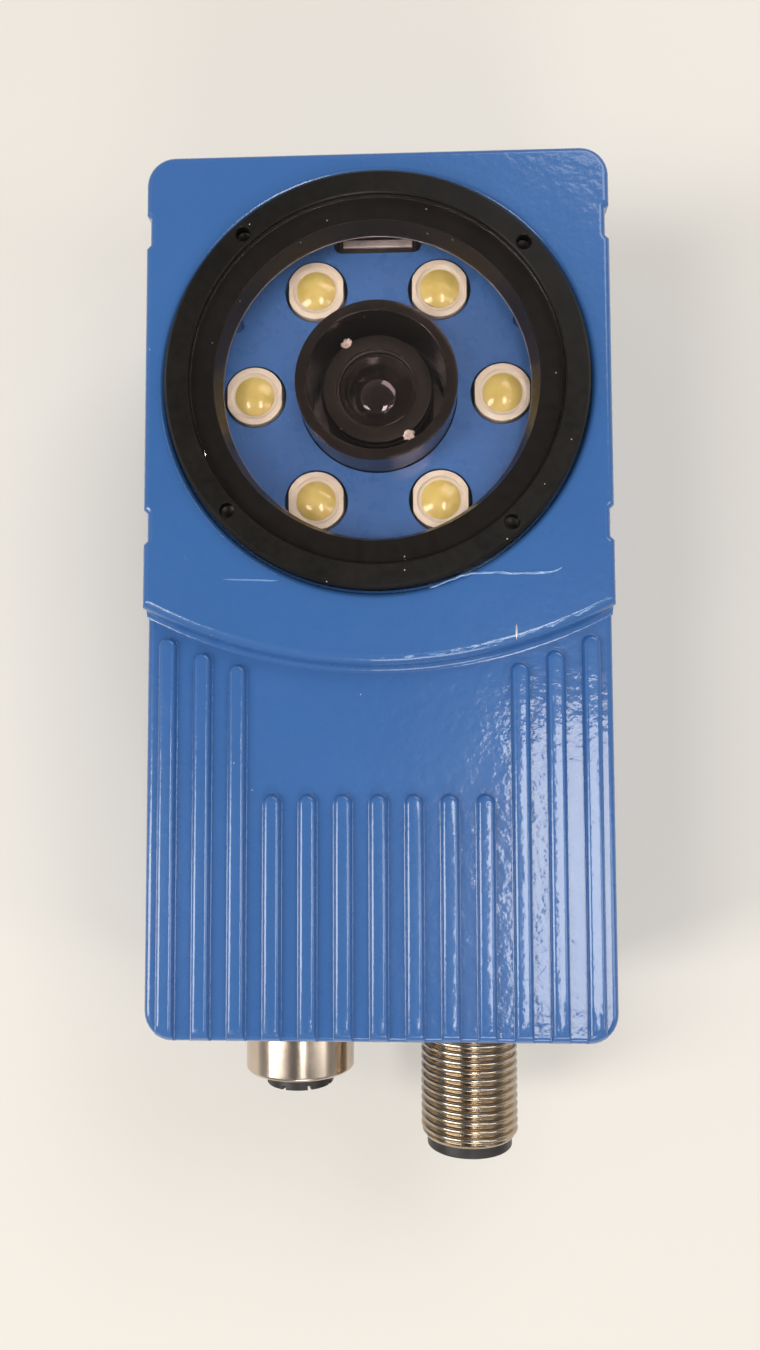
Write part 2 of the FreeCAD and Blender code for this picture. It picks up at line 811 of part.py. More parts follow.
retainer_top_z = lens_rim_z - lens_retainer_below_rim
retainer_z = retainer_top_z - lens_retainer_height
front_lens_z = retainer_z - front_lens_height
rear_lens_z = lens_rear_z + rear_lens_inset


def lens_barrel():
    """Lens barrel: a wide head and a threaded stem, bored in steps for its lenses."""
    return turned([(lens_front_bore, lens_rim_z), (lens_head_radius, lens_rim_z),
                   (lens_head_radius, lens_shoulder_z), (lens_stem_radius, lens_shoulder_z),
                   (lens_stem_radius, lens_rear_z), (lens_rear_bore, lens_rear_z),
                   (lens_rear_bore, rear_lens_z + rear_lens_height),
                   (lens_middle_bore, rear_lens_z + rear_lens_height),
                   (lens_middle_bore, front_lens_z), (lens_front_bore, front_lens_z)],
                  0.0, window_y)


def lens_retainer():
    """Screwed ring that holds the front lens, with a conical mouth."""
    return turned([(lens_aperture, retainer_z), (lens_front_bore - seat_gap, retainer_z),
                   (lens_front_bore - seat_gap, retainer_top_z),
                   (lens_retainer_mouth, retainer_top_z)], 0.0, window_y)


def front_lens():
    """Front lens: a flat-backed disc with a low dome that fills its aperture."""
    dome = low_dome(lens_aperture - seat_gap, front_lens_shoulder,
                    front_lens_shoulder_height, front_lens_bulge, retainer_z, 0.0, window_y)
    return disc(lens_front_bore - seat_gap, front_lens_z, retainer_z, 0.0,
                window_y).fuse(dome)


def rear_lens():
    return disc(lens_rear_bore - seat_gap, rear_lens_z, rear_lens_z + rear_lens_height,
                0.0, window_y)


def lens_carriage():
    """Carriage that slides on two rods and is driven by the focus screw."""
    top_z = carriage_top_z
    rod_lobe = guide_rod_radius + running_gap + carriage_lobe_wall
    nut_lobe = focus_screw_radius + running_gap + carriage_lobe_wall
    arm = carriage_arm_width / 2
    carriage = disc(lens_stem_radius + carriage_wall, carriage_z, top_z, 0.0, window_y)
    carriage = carriage.fuse([
        block(-guide_rod_x, guide_rod_x, window_y - arm, window_y + arm, carriage_z, top_z),
        block(-arm, arm, focus_y, window_y, carriage_z, top_z),
        disc(rod_lobe, carriage_z, top_z, -guide_rod_x, window_y),
        disc(rod_lobe, carriage_z, top_z, guide_rod_x, window_y),
        disc(nut_lobe, carriage_z, top_z, 0.0, focus_y)]).removeSplitter()
    bores = [(lens_stem_radius + seat_gap, 0.0, window_y),
             (guide_rod_radius + running_gap, -guide_rod_x, window_y),
             (guide_rod_radius + running_gap, guide_rod_x, window_y),
             (focus_screw_radius + running_gap, 0.0, focus_y)]
    for radius, x, y in bores:
        carriage = carriage.cut(disc(radius, carriage_z, top_z, x, y))
    return carriage


def focus_screw():
    """Focus screw, turned with a hexagon key through the rear cover."""
    groove_mid = (focus_head_inset + focus_shoulder_z) / 2
    groove_low = groove_mid - focus_groove_height / 2
    groove_high = groove_mid + focus_groove_height / 2
    neck = focus_head_radius - focus_groove_depth
    screw = turned([(0, focus_head_inset), (focus_head_radius, focus_head_inset),
                    (focus_head_radius, groove_low), (neck, groove_low),
                    (neck, groove_high), (focus_head_radius, groove_high),
                    (focus_head_radius, focus_shoulder_z - running_gap),
                    (focus_screw_radius, focus_shoulder_z - running_gap),
                    (focus_screw_radius, focus_screw_top_z), (0, focus_screw_top_z)],
                   0.0, focus_y)
    return screw.cut(hexagon_prism(focus_hex, focus_head_inset,
                                   focus_head_inset + focus_hex_depth, 0.0, focus_y))


def focus_seal():
    groove_mid = (focus_head_inset + focus_shoulder_z) / 2
    half = focus_groove_height / 2 - seat_gap
    neck = focus_head_radius - focus_groove_depth
    seal = disc(focus_head_radius + seat_gap, groove_mid - half, groove_mid + half,
                0.0, focus_y)
    return seal.cut(disc(neck + seat_gap, groove_mid - half, groove_mid + half,
                         0.0, focus_y))


def focus_clip():
    """Clip on the screw behind the cover boss, which stops it from moving along."""
    low_z = focus_boss_z + running_gap
    clip = disc(focus_clip_radius, low_z, low_z + focus_clip_height, 0.0, focus_y)
    clip = clip.cut(disc(focus_screw_radius + seat_gap, low_z, low_z + focus_clip_height,
                         0.0, focus_y))
    mouth = focus_clip_mouth / 2
    return clip.cut(block(-mouth, mouth, focus_y, focus_y + focus_clip_radius,
                          low_z, low_z + focus_clip_height))


def guide_rod(x):
    return disc(guide_rod_radius, frame_z, guide_rod_top_z, x, window_y)


save("light_baffle", light_baffle())
save("lens_barrel", lens_barrel())
save("lens_retainer", lens_retainer())
save("front_lens", front_lens())
save("rear_lens", rear_lens())
save("lens_carriage", lens_carriage())
save("focus_screw", focus_screw())
save("focus_seal", focus_seal())
save("focus_clip", focus_clip())
save("guide_rod_left", guide_rod(-guide_rod_x))
save("guide_rod_right", guide_rod(guide_rod_x))

# ------------------------------------------------------- optics frame and image sensor
sensor_screw_places = [(x * sensor_screw_offset, window_y + y * sensor_screw_offset)
                       for x in (-1, 1) for y in (-1, 1)]


def optics_frame():
    """Plate on the housing posts: it holds the guide rods and the sensor board."""
    frame = rounded_block(-frame_half_x, frame_half_x, window_y - frame_half_y,
                          window_y + frame_half_y, frame_z, frame_top_z,
                          frame_post_radius)
    frame = frame.cut(block(-frame_window_half, frame_window_half,
                            window_y - frame_window_half, window_y + frame_window_half,
                            frame_z, frame_top_z))
    for side in (-1, 1):
        frame = frame.cut(disc(guide_rod_radius + seat_gap, frame_z, frame_top_z,
                               side * guide_rod_x, window_y))
    holes = [(small_screw_radius + pass_gap, x, y) for x, y in frame_post_places]
    holes += [(tiny_screw_radius + seat_gap, x, y) for x, y in sensor_screw_places]
    holes.append((focus_screw_radius + focus_hole_gap, 0.0, focus_y))
    for radius, x, y in holes:
        frame = frame.cut(peg(radius, frame_z, frame_top_z, x, y))
    return frame


def frame_screws():
    return Part.makeCompound([
        hex_screw(x, y, frame_z, frame_top_z + small_screw_bite, small_screw_radius,
                  small_head_radius, small_head_height) for x, y in frame_post_places])


def sensor_board():
    board = block(-sensor_board_half, sensor_board_half, window_y - sensor_board_half,
                  window_y + sensor_board_half, sensor_board_z, frame_z)
    for x, y in sensor_screw_places:
        board = board.cut(peg(tiny_screw_radius + pass_gap, sensor_board_z, frame_z, x, y))
    return board.cut(peg(focus_screw_radius + focus_hole_gap, sensor_board_z, frame_z,
                         0.0, focus_y))


def sensor_board_screws():
    return Part.makeCompound([
        hex_screw(x, y, sensor_board_z, frame_top_z, tiny_screw_radius, tiny_head_radius,
                  tiny_head_height) for x, y in sensor_screw_places])


def image_sensor():
    """Sensor package: a shallow tray with the chip in it."""
    half = sensor_package / 2
    top_z = frame_z + sensor_package_height
    package = block(-half, half, window_y - half, window_y + half, frame_z, top_z)
    well = sensor_glass_size / 2 - sensor_glass_thickness
    return package.cut(block(-well, well, window_y - well, window_y + well,
                             top_z - sensor_glass_thickness, top_z))


def sensor_glass():
    half = sensor_glass_size / 2
    low_z = frame_z + sensor_package_height
    return block(-half, half, window_y - half, window_y + half, low_z,
                 low_z + sensor_glass_thickness)


def sensor_flex():
    """Flat cable that joins the sensor board to the processor board."""
    half = sensor_flex_width / 2
    return block(sensor_flex_x - half, sensor_flex_x + half,
                 processor_board_high_y - sensor_flex_overlap,
                 window_y - sensor_board_half + sensor_flex_overlap,
                 sensor_board_z - flex_thickness, sensor_board_z)


save("optics_frame", optics_frame())
save("frame_screws", frame_screws())
save("sensor_board", sensor_board())
save("sensor_board_screws", sensor_board_screws())
save("image_sensor", image_sensor())
save("sensor_glass", sensor_glass())
save("sensor_flex", sensor_flex())


# ---------------------------------------------------------------------- processor board
def processor_board():
    board = block(-processor_board_half_x, processor_board_half_x, processor_board_low_y,
                  processor_board_high_y, sensor_board_z, processor_top_z)
    for x, y in processor_post_places:
        board = board.cut(peg(small_screw_radius + pass_gap, sensor_board_z,
                              processor_top_z, x, y))
    return board


def processor_board_screws():
    return Part.makeCompound([
        hex_screw(x, y, sensor_board_z, processor_top_z + small_screw_bite,
                  small_screw_radius, small_head_radius, small_head_height)
        for x, y in processor_post_places])


def square_chip(size, z_low, z_high, y):
    half = size / 2
    return block(-half, half, y - half, y + half, z_low, z_high)


def memory_chips():
    half_x = memory_chip_width / 2
    half_y = memory_chip_length / 2
    return Part.makeCompound([
        block(x - half_x, x + half_x, memory_chip_y - half_y, memory_chip_y + half_y,
              processor_top_z, processor_top_z + memory_chip_height)
        for x in (-memory_chip_x, memory_chip_x)])


chip_z = sensor_board_z - processor_chip_height
save("processor_board", processor_board())
save("processor_board_screws", processor_board_screws())
save("processor_chip", square_chip(processor_chip_size, chip_z, sensor_board_z,
                                   processor_chip_y))
save("thermal_pad", square_chip(processor_chip_size, pedestal_height, chip_z,
                                processor_chip_y))
save("memory_chips", memory_chips())


# ---------------------------------------------------------------------- connectors
def connector_sleeve(x, reach, radius, chamfer, bore, mouth):
    """Metal sleeve with a collar in the end wall and a flange behind it.

    mouth lists the (radius, y) corners of its front opening, from the end face inwards.
    """
    end_y = -half_length - reach
    return turned_along_y([(radius - chamfer, end_y), (radius, end_y + chamfer),
                           (radius, -half_length), (collar_radius, -half_length),
                           (collar_radius, flange_y), (flange_radius, flange_y),
                           (flange_radius, bracket_y), (connector_rear_radius, bracket_y),
                           (connector_rear_radius, connector_rear_y),
                           (bore, connector_rear_y)] + mouth[::-1], x, connector_z)


def plug_shell():
    bore = plug_insert_radius + seat_gap
    return connector_sleeve(connector_x, plug_reach, plug_radius, plug_chamfer, bore,
                            [(bore, -half_length - plug_reach)])


def socket_sleeve():
    bore = socket_insert_radius + seat_gap
    end_y = -half_length - socket_reach
    thread_end_y = end_y + socket_thread_depth
    return connector_sleeve(-connector_x, socket_reach, socket_radius, socket_chamfer, bore,
                            [(socket_thread_radius, end_y),
                             (socket_thread_radius, thread_end_y), (bore, thread_end_y)])


plug_end_y = -half_length - plug_insert_reach
socket_end_y = -half_length - socket_insert_reach
plug_pin_places = round_places(plug_outer_pins, plug_outer_pin_circle)
plug_pin_places += round_places(plug_inner_pins, plug_inner_pin_circle, 90.0)
socket_contact_places = round_places(socket_contacts, socket_contact_circle, 45.0)


def plug_insert():
    """Moulded carrier of the pins, with a coding key groove in its collar."""
    floor_y = plug_end_y + plug_cavity_depth
    insert = bar(plug_insert_radius, plug_end_y, connector_rear_y, connector_x, connector_z)
    insert = insert.cut(bar(plug_cavity_radius, plug_end_y, floor_y, connector_x,
                            connector_z))
    half = plug_key_width / 2
    insert = insert.cut(block(connector_x - half, connector_x + half, plug_end_y, floor_y,
                              connector_z, connector_z + plug_cavity_radius + plug_key_depth))
    for x, z in plug_pin_places:
        insert = insert.cut(peg_along_y(plug_pin_radius + seat_gap, floor_y,
                                        connector_rear_y, connector_x + x, connector_z + z))
    return insert


def plug_pins():
    return Part.makeCompound([
        peg_along_y(plug_pin_radius, plug_end_y + plug_pin_recess, io_board_y,
                    connector_x + x, connector_z + z) for x, z in plug_pin_places])


def socket_insert():
    """Moulded contact carrier; its front collar is cut into teeth."""
    tooth_y = socket_end_y + socket_tooth_height
    insert = bar(socket_insert_radius, socket_end_y, connector_rear_y, -connector_x,
                 connector_z)
    insert = insert.cut(bar(socket_insert_radius - socket_tooth_wall, socket_end_y, tooth_y,
                            -connector_x, connector_z))
    half = socket_tooth_gap / 2
    for index in range(socket_teeth):
        slit = block(socket_contact_circle, socket_insert_radius + cut_past, socket_end_y,
                     tooth_y, -half, half)
        slit.rotate(Vector(0, 0, 0), Vector(0, 1, 0), 360.0 * (index + 0.5) / socket_teeth)
        slit.translate(Vector(-connector_x, 0, connector_z))
        insert = insert.cut(slit)
    for x, z in socket_contact_places:
        insert = insert.cut(peg_along_y(socket_contact_radius + seat_gap, tooth_y,
                                        connector_rear_y, x - connector_x, connector_z + z))
    return insert


def contact_set():
    contacts = []
    for x, z in socket_contact_places:
        front_y = socket_end_y + socket_tooth_height + socket_contact_radius
        contact = peg_along_y(socket_contact_radius, front_y, io_board_y, x - connector_x,
                              connector_z + z)
        contacts.append(contact.cut(peg_along_y(socket_contact_bore, front_y,
                                                front_y + socket_thread_depth,
                                                x - connector_x, connector_z + z)))
    return Part.makeCompound(contacts)


def connector_gaskets():
    """Flat sealing rings under the two flanges."""
    rings = []
    for side in (-1, 1):
        ring = bar(flange_radius, end_wall_y, flange_y, side * connector_x, connector_z)
        rings.append(ring.cut(bar(collar_radius + pass_gap, end_wall_y, flange_y,
                                  side * connector_x, connector_z)))
    return Part.makeCompound(rings)


def connector_bracket():
    """Plate that presses both connector flanges against the end wall."""
    plate = rounded_block(-bracket_half_x, bracket_half_x, -bracket_half_z, bracket_half_z,
                          0.0, bracket_thickness, bracket_corner)
    plate = laid_along_y(plate, bracket_y, 0.0, connector_z)
    for sign in (-1, 1):
        plate = plate.cut(bar(connector_rear_radius + pass_gap, bracket_y, bracket_inner_y,
                              sign * connector_x, connector_z))
        plate = plate.cut(peg_along_y(small_screw_radius + pass_gap, bracket_y,
                                      bracket_inner_y, 0.0,
                                      connector_z + sign * bracket_screw_offset))
    return plate


def bracket_screws():
    return Part.makeCompound([
        hex_screw_along_y(0.0, connector_z + end * bracket_screw_offset, bracket_inner_y,
                          bracket_y - bracket_screw_bite, small_screw_radius,
                          small_head_radius, small_head_height) for end in (-1, 1)])


standoff_places = [(x * standoff_x, connector_z + z * standoff_z)
                   for x in (-1, 1) for z in (-1, 1)]


def io_board():
    board = block(-io_board_half_x, io_board_half_x, io_board_y, io_board_inner_y,
                  connector_z - io_board_half_z, connector_z + io_board_half_z)
    for x, z in standoff_places:
        board = board.cut(peg_along_y(tiny_screw_radius + pass_gap, io_board_y,
                                      io_board_inner_y, x, z))
    return board


def io_board_standoffs():
    """Hexagon spacers, tapped through, between the bracket and the connector board."""
    length = io_board_y - bracket_inner_y
    spacers = []
    for x, z in standoff_places:
        spacer = regular_prism(hex_points, standoff_radius, 0.0, length, 0.0, 0.0)
        spacer = spacer.cut(peg(tiny_screw_radius + seat_gap, 0.0, length, 0.0, 0.0))
        spacers.append(laid_along_y(spacer, bracket_inner_y, x, z))
    return Part.makeCompound(spacers)


def io_board_screws():
    return Part.makeCompound([
        hex_screw_along_y(x, z, io_board_inner_y, bracket_inner_y, tiny_screw_radius,
                          tiny_head_radius, tiny_head_height) for x, z in standoff_places])


def board_header():
    """Right-angle header between the connector board and the processor board."""
    return block(-header_half_x, header_half_x, io_board_inner_y,
                 processor_board_low_y + header_overlap, processor_top_z,
                 processor_top_z + header_height)


save("plug_shell", plug_shell())
save("plug_insert", plug_insert())
save("plug_pins", plug_pins())
save("socket_sleeve", socket_sleeve())
save("socket_insert", socket_insert())
save("socket_contacts", contact_set())
save("connector_gaskets", connector_gaskets())
save("connector_bracket", connector_bracket())
save("bracket_screws", bracket_screws())
save("io_board", io_board())
save("io_board_standoffs", io_board_standoffs())
save("io_board_screws", io_board_screws())
save("board_header", board_header())
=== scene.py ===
"""A compact machine vision camera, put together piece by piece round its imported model."""
import json
import math
import random

import bmesh
import bpy
from mathutils import Matrix, Vector


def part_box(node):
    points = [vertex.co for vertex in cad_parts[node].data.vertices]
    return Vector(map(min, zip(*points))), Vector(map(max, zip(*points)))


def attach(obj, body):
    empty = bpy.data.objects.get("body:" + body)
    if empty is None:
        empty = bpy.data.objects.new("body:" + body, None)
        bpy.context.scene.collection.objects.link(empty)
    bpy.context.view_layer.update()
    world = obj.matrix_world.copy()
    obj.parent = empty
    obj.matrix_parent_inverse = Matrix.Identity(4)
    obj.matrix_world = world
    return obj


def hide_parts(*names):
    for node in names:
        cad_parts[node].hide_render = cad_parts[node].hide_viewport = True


# ------------------------------------------------------------------------------ Frame
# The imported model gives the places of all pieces. Sizes below are in millimetres and
# meshes are in metres, in the model's own frame: +Z out of the window, -Y the plugs.
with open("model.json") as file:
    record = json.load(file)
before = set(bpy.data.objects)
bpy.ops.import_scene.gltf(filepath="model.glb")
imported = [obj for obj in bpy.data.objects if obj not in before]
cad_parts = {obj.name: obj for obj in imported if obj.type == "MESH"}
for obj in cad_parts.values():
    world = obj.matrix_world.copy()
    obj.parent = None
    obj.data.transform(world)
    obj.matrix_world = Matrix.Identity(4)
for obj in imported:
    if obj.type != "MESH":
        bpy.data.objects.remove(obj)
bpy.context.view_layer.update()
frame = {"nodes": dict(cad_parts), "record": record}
MM = 0.001


def lowest(node):
    return Vector(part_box(node)[0]) / MM


def highest(node):
    return Vector(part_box(node)[1]) / MM


def middle(node):
    return (lowest(node) + highest(node)) / 2


def half_across(node):
    return (highest(node).x - lowest(node).x) / 2


# ----------------------------------------------------------------- Camera, floor, light
# The camera looks down on the part from a hand's breadth above it. The floor is plain
# and pale. Soft lamps stand left, right, in front, behind and overhead, and the left one
# is the brightest.
camera_place = (4.77, -16.82, 147.43)
camera_turn = (3.65, 2.31, -0.19)
camera_data = bpy.data.cameras.new("view")
camera_data.sensor_fit = "VERTICAL"
camera_data.sensor_height = 36.0
camera_data.lens = 26.77
camera_data.clip_start = 0.005
camera = bpy.data.objects.new("view", camera_data)
bpy.context.scene.collection.objects.link(camera)
camera.location = [value * MM for value in camera_place]
camera.rotation_euler = [math.radians(value) for value in camera_turn]
bpy.context.scene.camera = camera
bpy.context.scene.view_settings.view_transform = "Standard"


def soft_lamp(name, place, aim, width, length, watts, colour):
    """A rectangular lamp at place, turned to aim, in millimetres and watts."""
    data = bpy.data.lights.new(name, "AREA")
    data.shape = "RECTANGLE"
    data.size = width * MM
    data.size_y = length * MM
    data.energy = watts
    data.color = colour
    lamp = bpy.data.objects.new(name, data)
    bpy.context.scene.collection.objects.link(lamp)
    turn = (Vector(aim) - Vector(place)).to_track_quat("-Z", "Y").to_matrix().to_4x4()
    lamp.matrix_world = Matrix.Translation(Vector(place) * MM) @ turn


soft_lamp("left_lamp", (-520, -170, 600), (0, -20, 20), 200, 560, 3.3, (1.0, 0.97, 0.92))
soft_lamp("right_lamp", (520, -170, 600), (0, -20, 20), 160, 560, 0.9, (1.0, 0.97, 0.93))
soft_lamp("top_lamp", (190, -165, 1000), (190, -165, 0), 160, 350, 1.9, (1.0, 0.98, 0.95))
soft_lamp("front_lamp", (90, -640, 430), (0, -20, 15), 280, 200, 1.1, (1.0, 0.97, 0.92))
soft_lamp("back_lamp", (260, 420, 480), (0, 30, 30), 420, 320, 1.3, (1.0, 0.98, 0.96))

# The studio round the object is pale at the horizon and dim overhead.
world = bpy.data.worlds.new("studio")
bpy.context.scene.world = world
world.use_nodes = True
world_tree = world.node_tree
sky_place = world_tree.nodes.new("ShaderNodeTexCoord")
sky_parts = world_tree.nodes.new("ShaderNodeSeparateXYZ")
sky = world_tree.nodes.new("ShaderNodeValToRGB")
sky_levels = ((0.0, 0.5), (0.2, 0.3), (0.42, 0.3), (0.72, 0.4), (0.88, 0.16), (1.0, 0.05))
while len(sky.color_ramp.elements) < len(sky_levels):
    sky.color_ramp.elements.new(0.5)
for element, (height, level) in zip(sky.color_ramp.elements, sky_levels):
    element.position = height
    element.color = (level, level * 0.99, level * 0.97, 1.0)
world_tree.links.new(sky_place.outputs["Generated"], sky_parts.inputs[0])
world_tree.links.new(sky_parts.outputs["Z"], sky.inputs["Fac"])
world_tree.links.new(sky.outputs["Color"], world_tree.nodes["Background"].inputs["Color"])

floor_half = 2000.0
floor_mesh = bpy.data.meshes.new("floor")
floor_mesh.from_pydata([(x * floor_half * MM, y * floor_half * MM, 0.0)
                        for x, y in ((-1, -1), (1, -1), (1, 1), (-1, 1))], [], [(0, 1, 2, 3)])
floor = bpy.data.objects.new("floor", floor_mesh)
bpy.context.scene.collection.objects.link(floor)
floor_finish = bpy.data.materials.new("pale_floor")
floor_finish.use_nodes = True
floor_shader = floor_finish.node_tree.nodes["Principled BSDF"]
floor_shader.inputs["Base Color"].default_value = (0.78, 0.75, 0.7, 1.0)
floor_shader.inputs["Roughness"].default_value = 0.6
floor_mesh.materials.append(floor_finish)


# ------------------------------------------------------------------------ Front casting
# The front shell is one aluminium die casting: a flat box with a raised window end whose
# edge is an arc, and a well for the lens and lamps. It is enamelled in gloss blue.
housing_low = lowest("front_housing")
housing_high = highest("front_housing")
half_width = housing_high.x
half_length = housing_high.y
shell_z = housing_low.z
window_face_z = housing_high.z
window_step = 2.6
window_root = 1.6
front_face_z = window_face_z - window_step
window = middle("window_ring")
corner_radius = 3.3
edge_round = 0.8
seam_groove = 0.2
notch_half_length = 2.0
notch_depth = 0.45
notch_places = (7.2, 41.7)
notch_round = 0.2
step_radius = 56.14
step_centre_y = half_length - 3.0
step_crown = 1.2
step_foot = 0.8
well_radius = 22.45
recess_radius = 24.2
recess_z = 35.0
recess_round = 0.75
well_floor_z = 31.2
floor_under_z = 29.4


def arc_points(centre, radius, first, last, steps):
    """Points on an arc, as (a, b) pairs; angles in degrees."""
    angles = [math.radians(first + (last - first) * step / steps) for step in range(steps + 1)]
    return [(centre[0] + radius * math.cos(turn), centre[1] + radius * math.sin(turn))
            for turn in angles]


def softened(corners, steps=3):
    """Round each (a, b, radius) corner of a closed outline with a short arc."""
    points = []
    for index, (a, b, radius) in enumerate(corners):
        corner = Vector((a, b))
        before = Vector(corners[index - 1][:2]) - corner
        after = Vector(corners[(index + 1) % len(corners)][:2]) - corner
        half_turn = before.angle(after) / 2
        reach = min(radius / math.tan(half_turn), before.length * 0.49, after.length * 0.49)
        towards = (before.normalized() + after.normalized()).normalized()
        centre = corner + towards * (reach / math.cos(half_turn))
        first = corner + before.normalized() * reach - centre
        last = corner + after.normalized() * reach - centre
        sweep = math.pi - 2 * half_turn
        for step in range(steps + 1):
            share = step / steps
            point = centre + (first * math.sin((1 - share) * sweep)
                              + last * math.sin(share * sweep)) / math.sin(sweep)
            points.append((point.x, point.y))
    return points


def drawn_in(corners, depth):
    """Move every side of a counter-clockwise outline inwards by depth."""
    result = []
    for index, (a, b, radius) in enumerate(corners):
        corner = Vector((a, b))
        along = (corner - Vector(corners[index - 1][:2])).normalized()
        onward = (Vector(corners[(index + 1) % len(corners)][:2]) - corner).normalized()
        first = Vector((-along.y, along.x))
        second = Vector((-onward.y, onward.x))
        moved = corner + depth * (first + second) / (1 + first.dot(second))
        bends_left = along.x * onward.y - along.y * onward.x > 0
        result.append((moved.x, moved.y,
                       max(radius - depth, 0.05) if bends_left else radius + depth))
    return result


def new_piece(name, points, faces):
    """A mesh object from points in millimetres."""
    mesh = bpy.data.meshes.new(name)
    mesh.from_pydata([tuple(value * MM for value in point) for point in points], [], faces)
    piece = bpy.data.objects.new(name, mesh)
    bpy.context.scene.collection.objects.link(piece)
    return piece


def stacked(name, rings):
    """Closed skin over rings of equal count, each a list of (x, y, z), lowest first."""
    count = len(rings[0])
    points = [point for ring in rings for point in ring]
    faces = [tuple(reversed(range(count)))]
    for level in range(len(rings) - 1):
        start = level * count
        for index in range(count):
            after = (index + 1) % count
            faces.append((start + index, start + after, start + count + after,
                          start + count + index))
    faces.append(tuple(range((len(rings) - 1) * count, len(rings) * count)))
    return new_piece(name, points, faces)


def lathed(name, outline, steps, x=0.0, y=0.0):
    """Turn a closed (radius, z) outline about an upright axis; radius 0 makes a pole."""
    points, rows = [], []
    for radius, z in outline:
        rows.append(len(points))
        if radius == 0:
            points.append((x, y, z))
            continue
        for step in range(steps):
            turn = 2 * math.pi * step / steps
            points.append((x + radius * math.cos(turn), y + radius * math.sin(turn), z))
    faces = []
    for index, (radius, z) in enumerate(outline):
        after = (index + 1) % len(outline)
        after_radius = outline[after][0]
        if radius == 0 and after_radius == 0:
            continue
        for step in range(steps):
            turn = (step + 1) % steps
            corners = [rows[index] + (0 if radius == 0 else step),
                       rows[index] + (0 if radius == 0 else turn),
                       rows[after] + (0 if after_radius == 0 else turn),
                       rows[after] + (0 if after_radius == 0 else step)]
            faces.append(tuple(dict.fromkeys(corners)))
    piece = new_piece(name, points, faces)
    outward(piece)
    return piece


def outward(piece):
    """Weld doubles and point all faces out of the closed mesh."""
    work = bmesh.new()
    work.from_mesh(piece.data)
    bmesh.ops.remove_doubles(work, verts=work.verts, dist=MM * 1e-4)
    bmesh.ops.recalc_face_normals(work, faces=work.faces)
    work.to_mesh(piece.data)
    work.free()


def settled(piece):
    """Turn the piece with its modifiers into a plain mesh."""
    bpy.context.view_layer.update()
    depsgraph = bpy.context.evaluated_depsgraph_get()
    mesh = bpy.data.meshes.new_from_object(piece.evaluated_get(depsgraph))
    piece.modifiers.clear()
    piece.data = mesh


def joined(piece, other, operation):
    """Boolean of two closed meshes: UNION, DIFFERENCE or INTERSECT. The other goes."""
    modifier = piece.modifiers.new("joined", "BOOLEAN")
    modifier.solver = "EXACT"
    modifier.operation = operation
    modifier.object = other
    settled(piece)
    bpy.data.objects.remove(other)


def together(pieces):
    """Join separate meshes into the first one, untouched."""
    work = bmesh.new()
    for piece in pieces:
        work.from_mesh(piece.data)
    work.to_mesh(pieces[0].data)
    work.free()
    for piece in pieces[1:]:
        bpy.data.objects.remove(piece)
    return pieces[0]


def shaded(piece, degrees):
    """Smooth shading that keeps flats flat and edges over an angle sharp."""
    piece.data.shade_smooth()
    piece.data.set_sharp_from_angle(angle=math.radians(degrees))
    even = piece.modifiers.new("even", "WEIGHTED_NORMAL")
    even.keep_sharp = True
    settled(piece)


right_side = [(half_width, -half_length, corner_radius)]
for notch_y in notch_places:
    right_side += [
        (half_width, notch_y - notch_half_length, notch_round),
        (half_width - notch_depth, notch_y - notch_half_length + notch_depth, notch_round),
        (half_width - notch_depth, notch_y + notch_half_length - notch_depth, notch_round),
        (half_width, notch_y + notch_half_length, notch_round)]
right_side.append((half_width, half_length, corner_radius))
left_side = [(-x, y, radius) for x, y, radius in reversed(right_side)]
housing_corners = left_side[-1:] + right_side + left_side[:-1]


def housing_ring(z, depth):
    return [(x, y, z) for x, y in softened(drawn_in(housing_corners, depth), 8)]


def rounded_rim(top_z):
    """The outline's rings up a rounded top edge."""
    return [housing_ring(z, half_width - edge) for edge, z in
            arc_points((half_width - edge_round, top_z - edge_round), edge_round, 0, 90, 7)]


casting = stacked("front_casting", [housing_ring(shell_z, seam_groove),
                                    housing_ring(shell_z + seam_groove, 0.0)]
                  + rounded_rim(front_face_z))
window_end = stacked("window_end", [housing_ring(front_face_z - window_root, 0.0)]
                     + rounded_rim(window_face_z))
cutter_low_z = front_face_z - 2.0
cutter_top_z = window_face_z + 1.0
step_outline = [(0, cutter_low_z), (step_radius + step_foot, cutter_low_z)]
step_outline += arc_points((step_radius + step_foot, front_face_z + step_foot),
                           step_foot, -90, -180, 8)
step_outline += arc_points((step_radius - step_crown, window_face_z - step_crown),
                           step_crown, 0, 90, 8)
step_outline += [(step_radius - step_crown, cutter_top_z), (0, cutter_top_z)]
joined(window_end, lathed("step", step_outline, 540, 0.0, step_centre_y), "INTERSECT")
joined(casting, window_end, "UNION")

cavity_low_y, cavity_high_y, cavity_half_x = -46.5, 48.1, 24.1
cavity_step_y, cavity_step_height = -1.2, 2.0
cavity_low_z = shell_z - 1.0
cavity = [(cavity_low_y, cavity_low_z), (cavity_high_y, cavity_low_z),
          (cavity_high_y, floor_under_z), (cavity_step_y, floor_under_z),
          (cavity_step_y, floor_under_z + cavity_step_height),
          (cavity_low_y, floor_under_z + cavity_step_height)]
hollow = stacked("hollow", [[(x, y, z) for y, z in cavity]
                            for x in (-cavity_half_x, cavity_half_x)])
outward(hollow)
joined(casting, hollow, "DIFFERENCE")
well_outline = [(0, well_floor_z), (well_radius, well_floor_z), (well_radius, recess_z),
                (recess_radius, recess_z), (recess_radius, window_face_z - recess_round)]
well_outline += arc_points((recess_radius + recess_round, window_face_z - recess_round),
                           recess_round, 180, 90, 5)
well_outline += [(recess_radius + recess_round, cutter_top_z), (0, cutter_top_z)]
joined(casting, lathed("well", well_outline, 200, window.x, window.y), "DIFFERENCE")

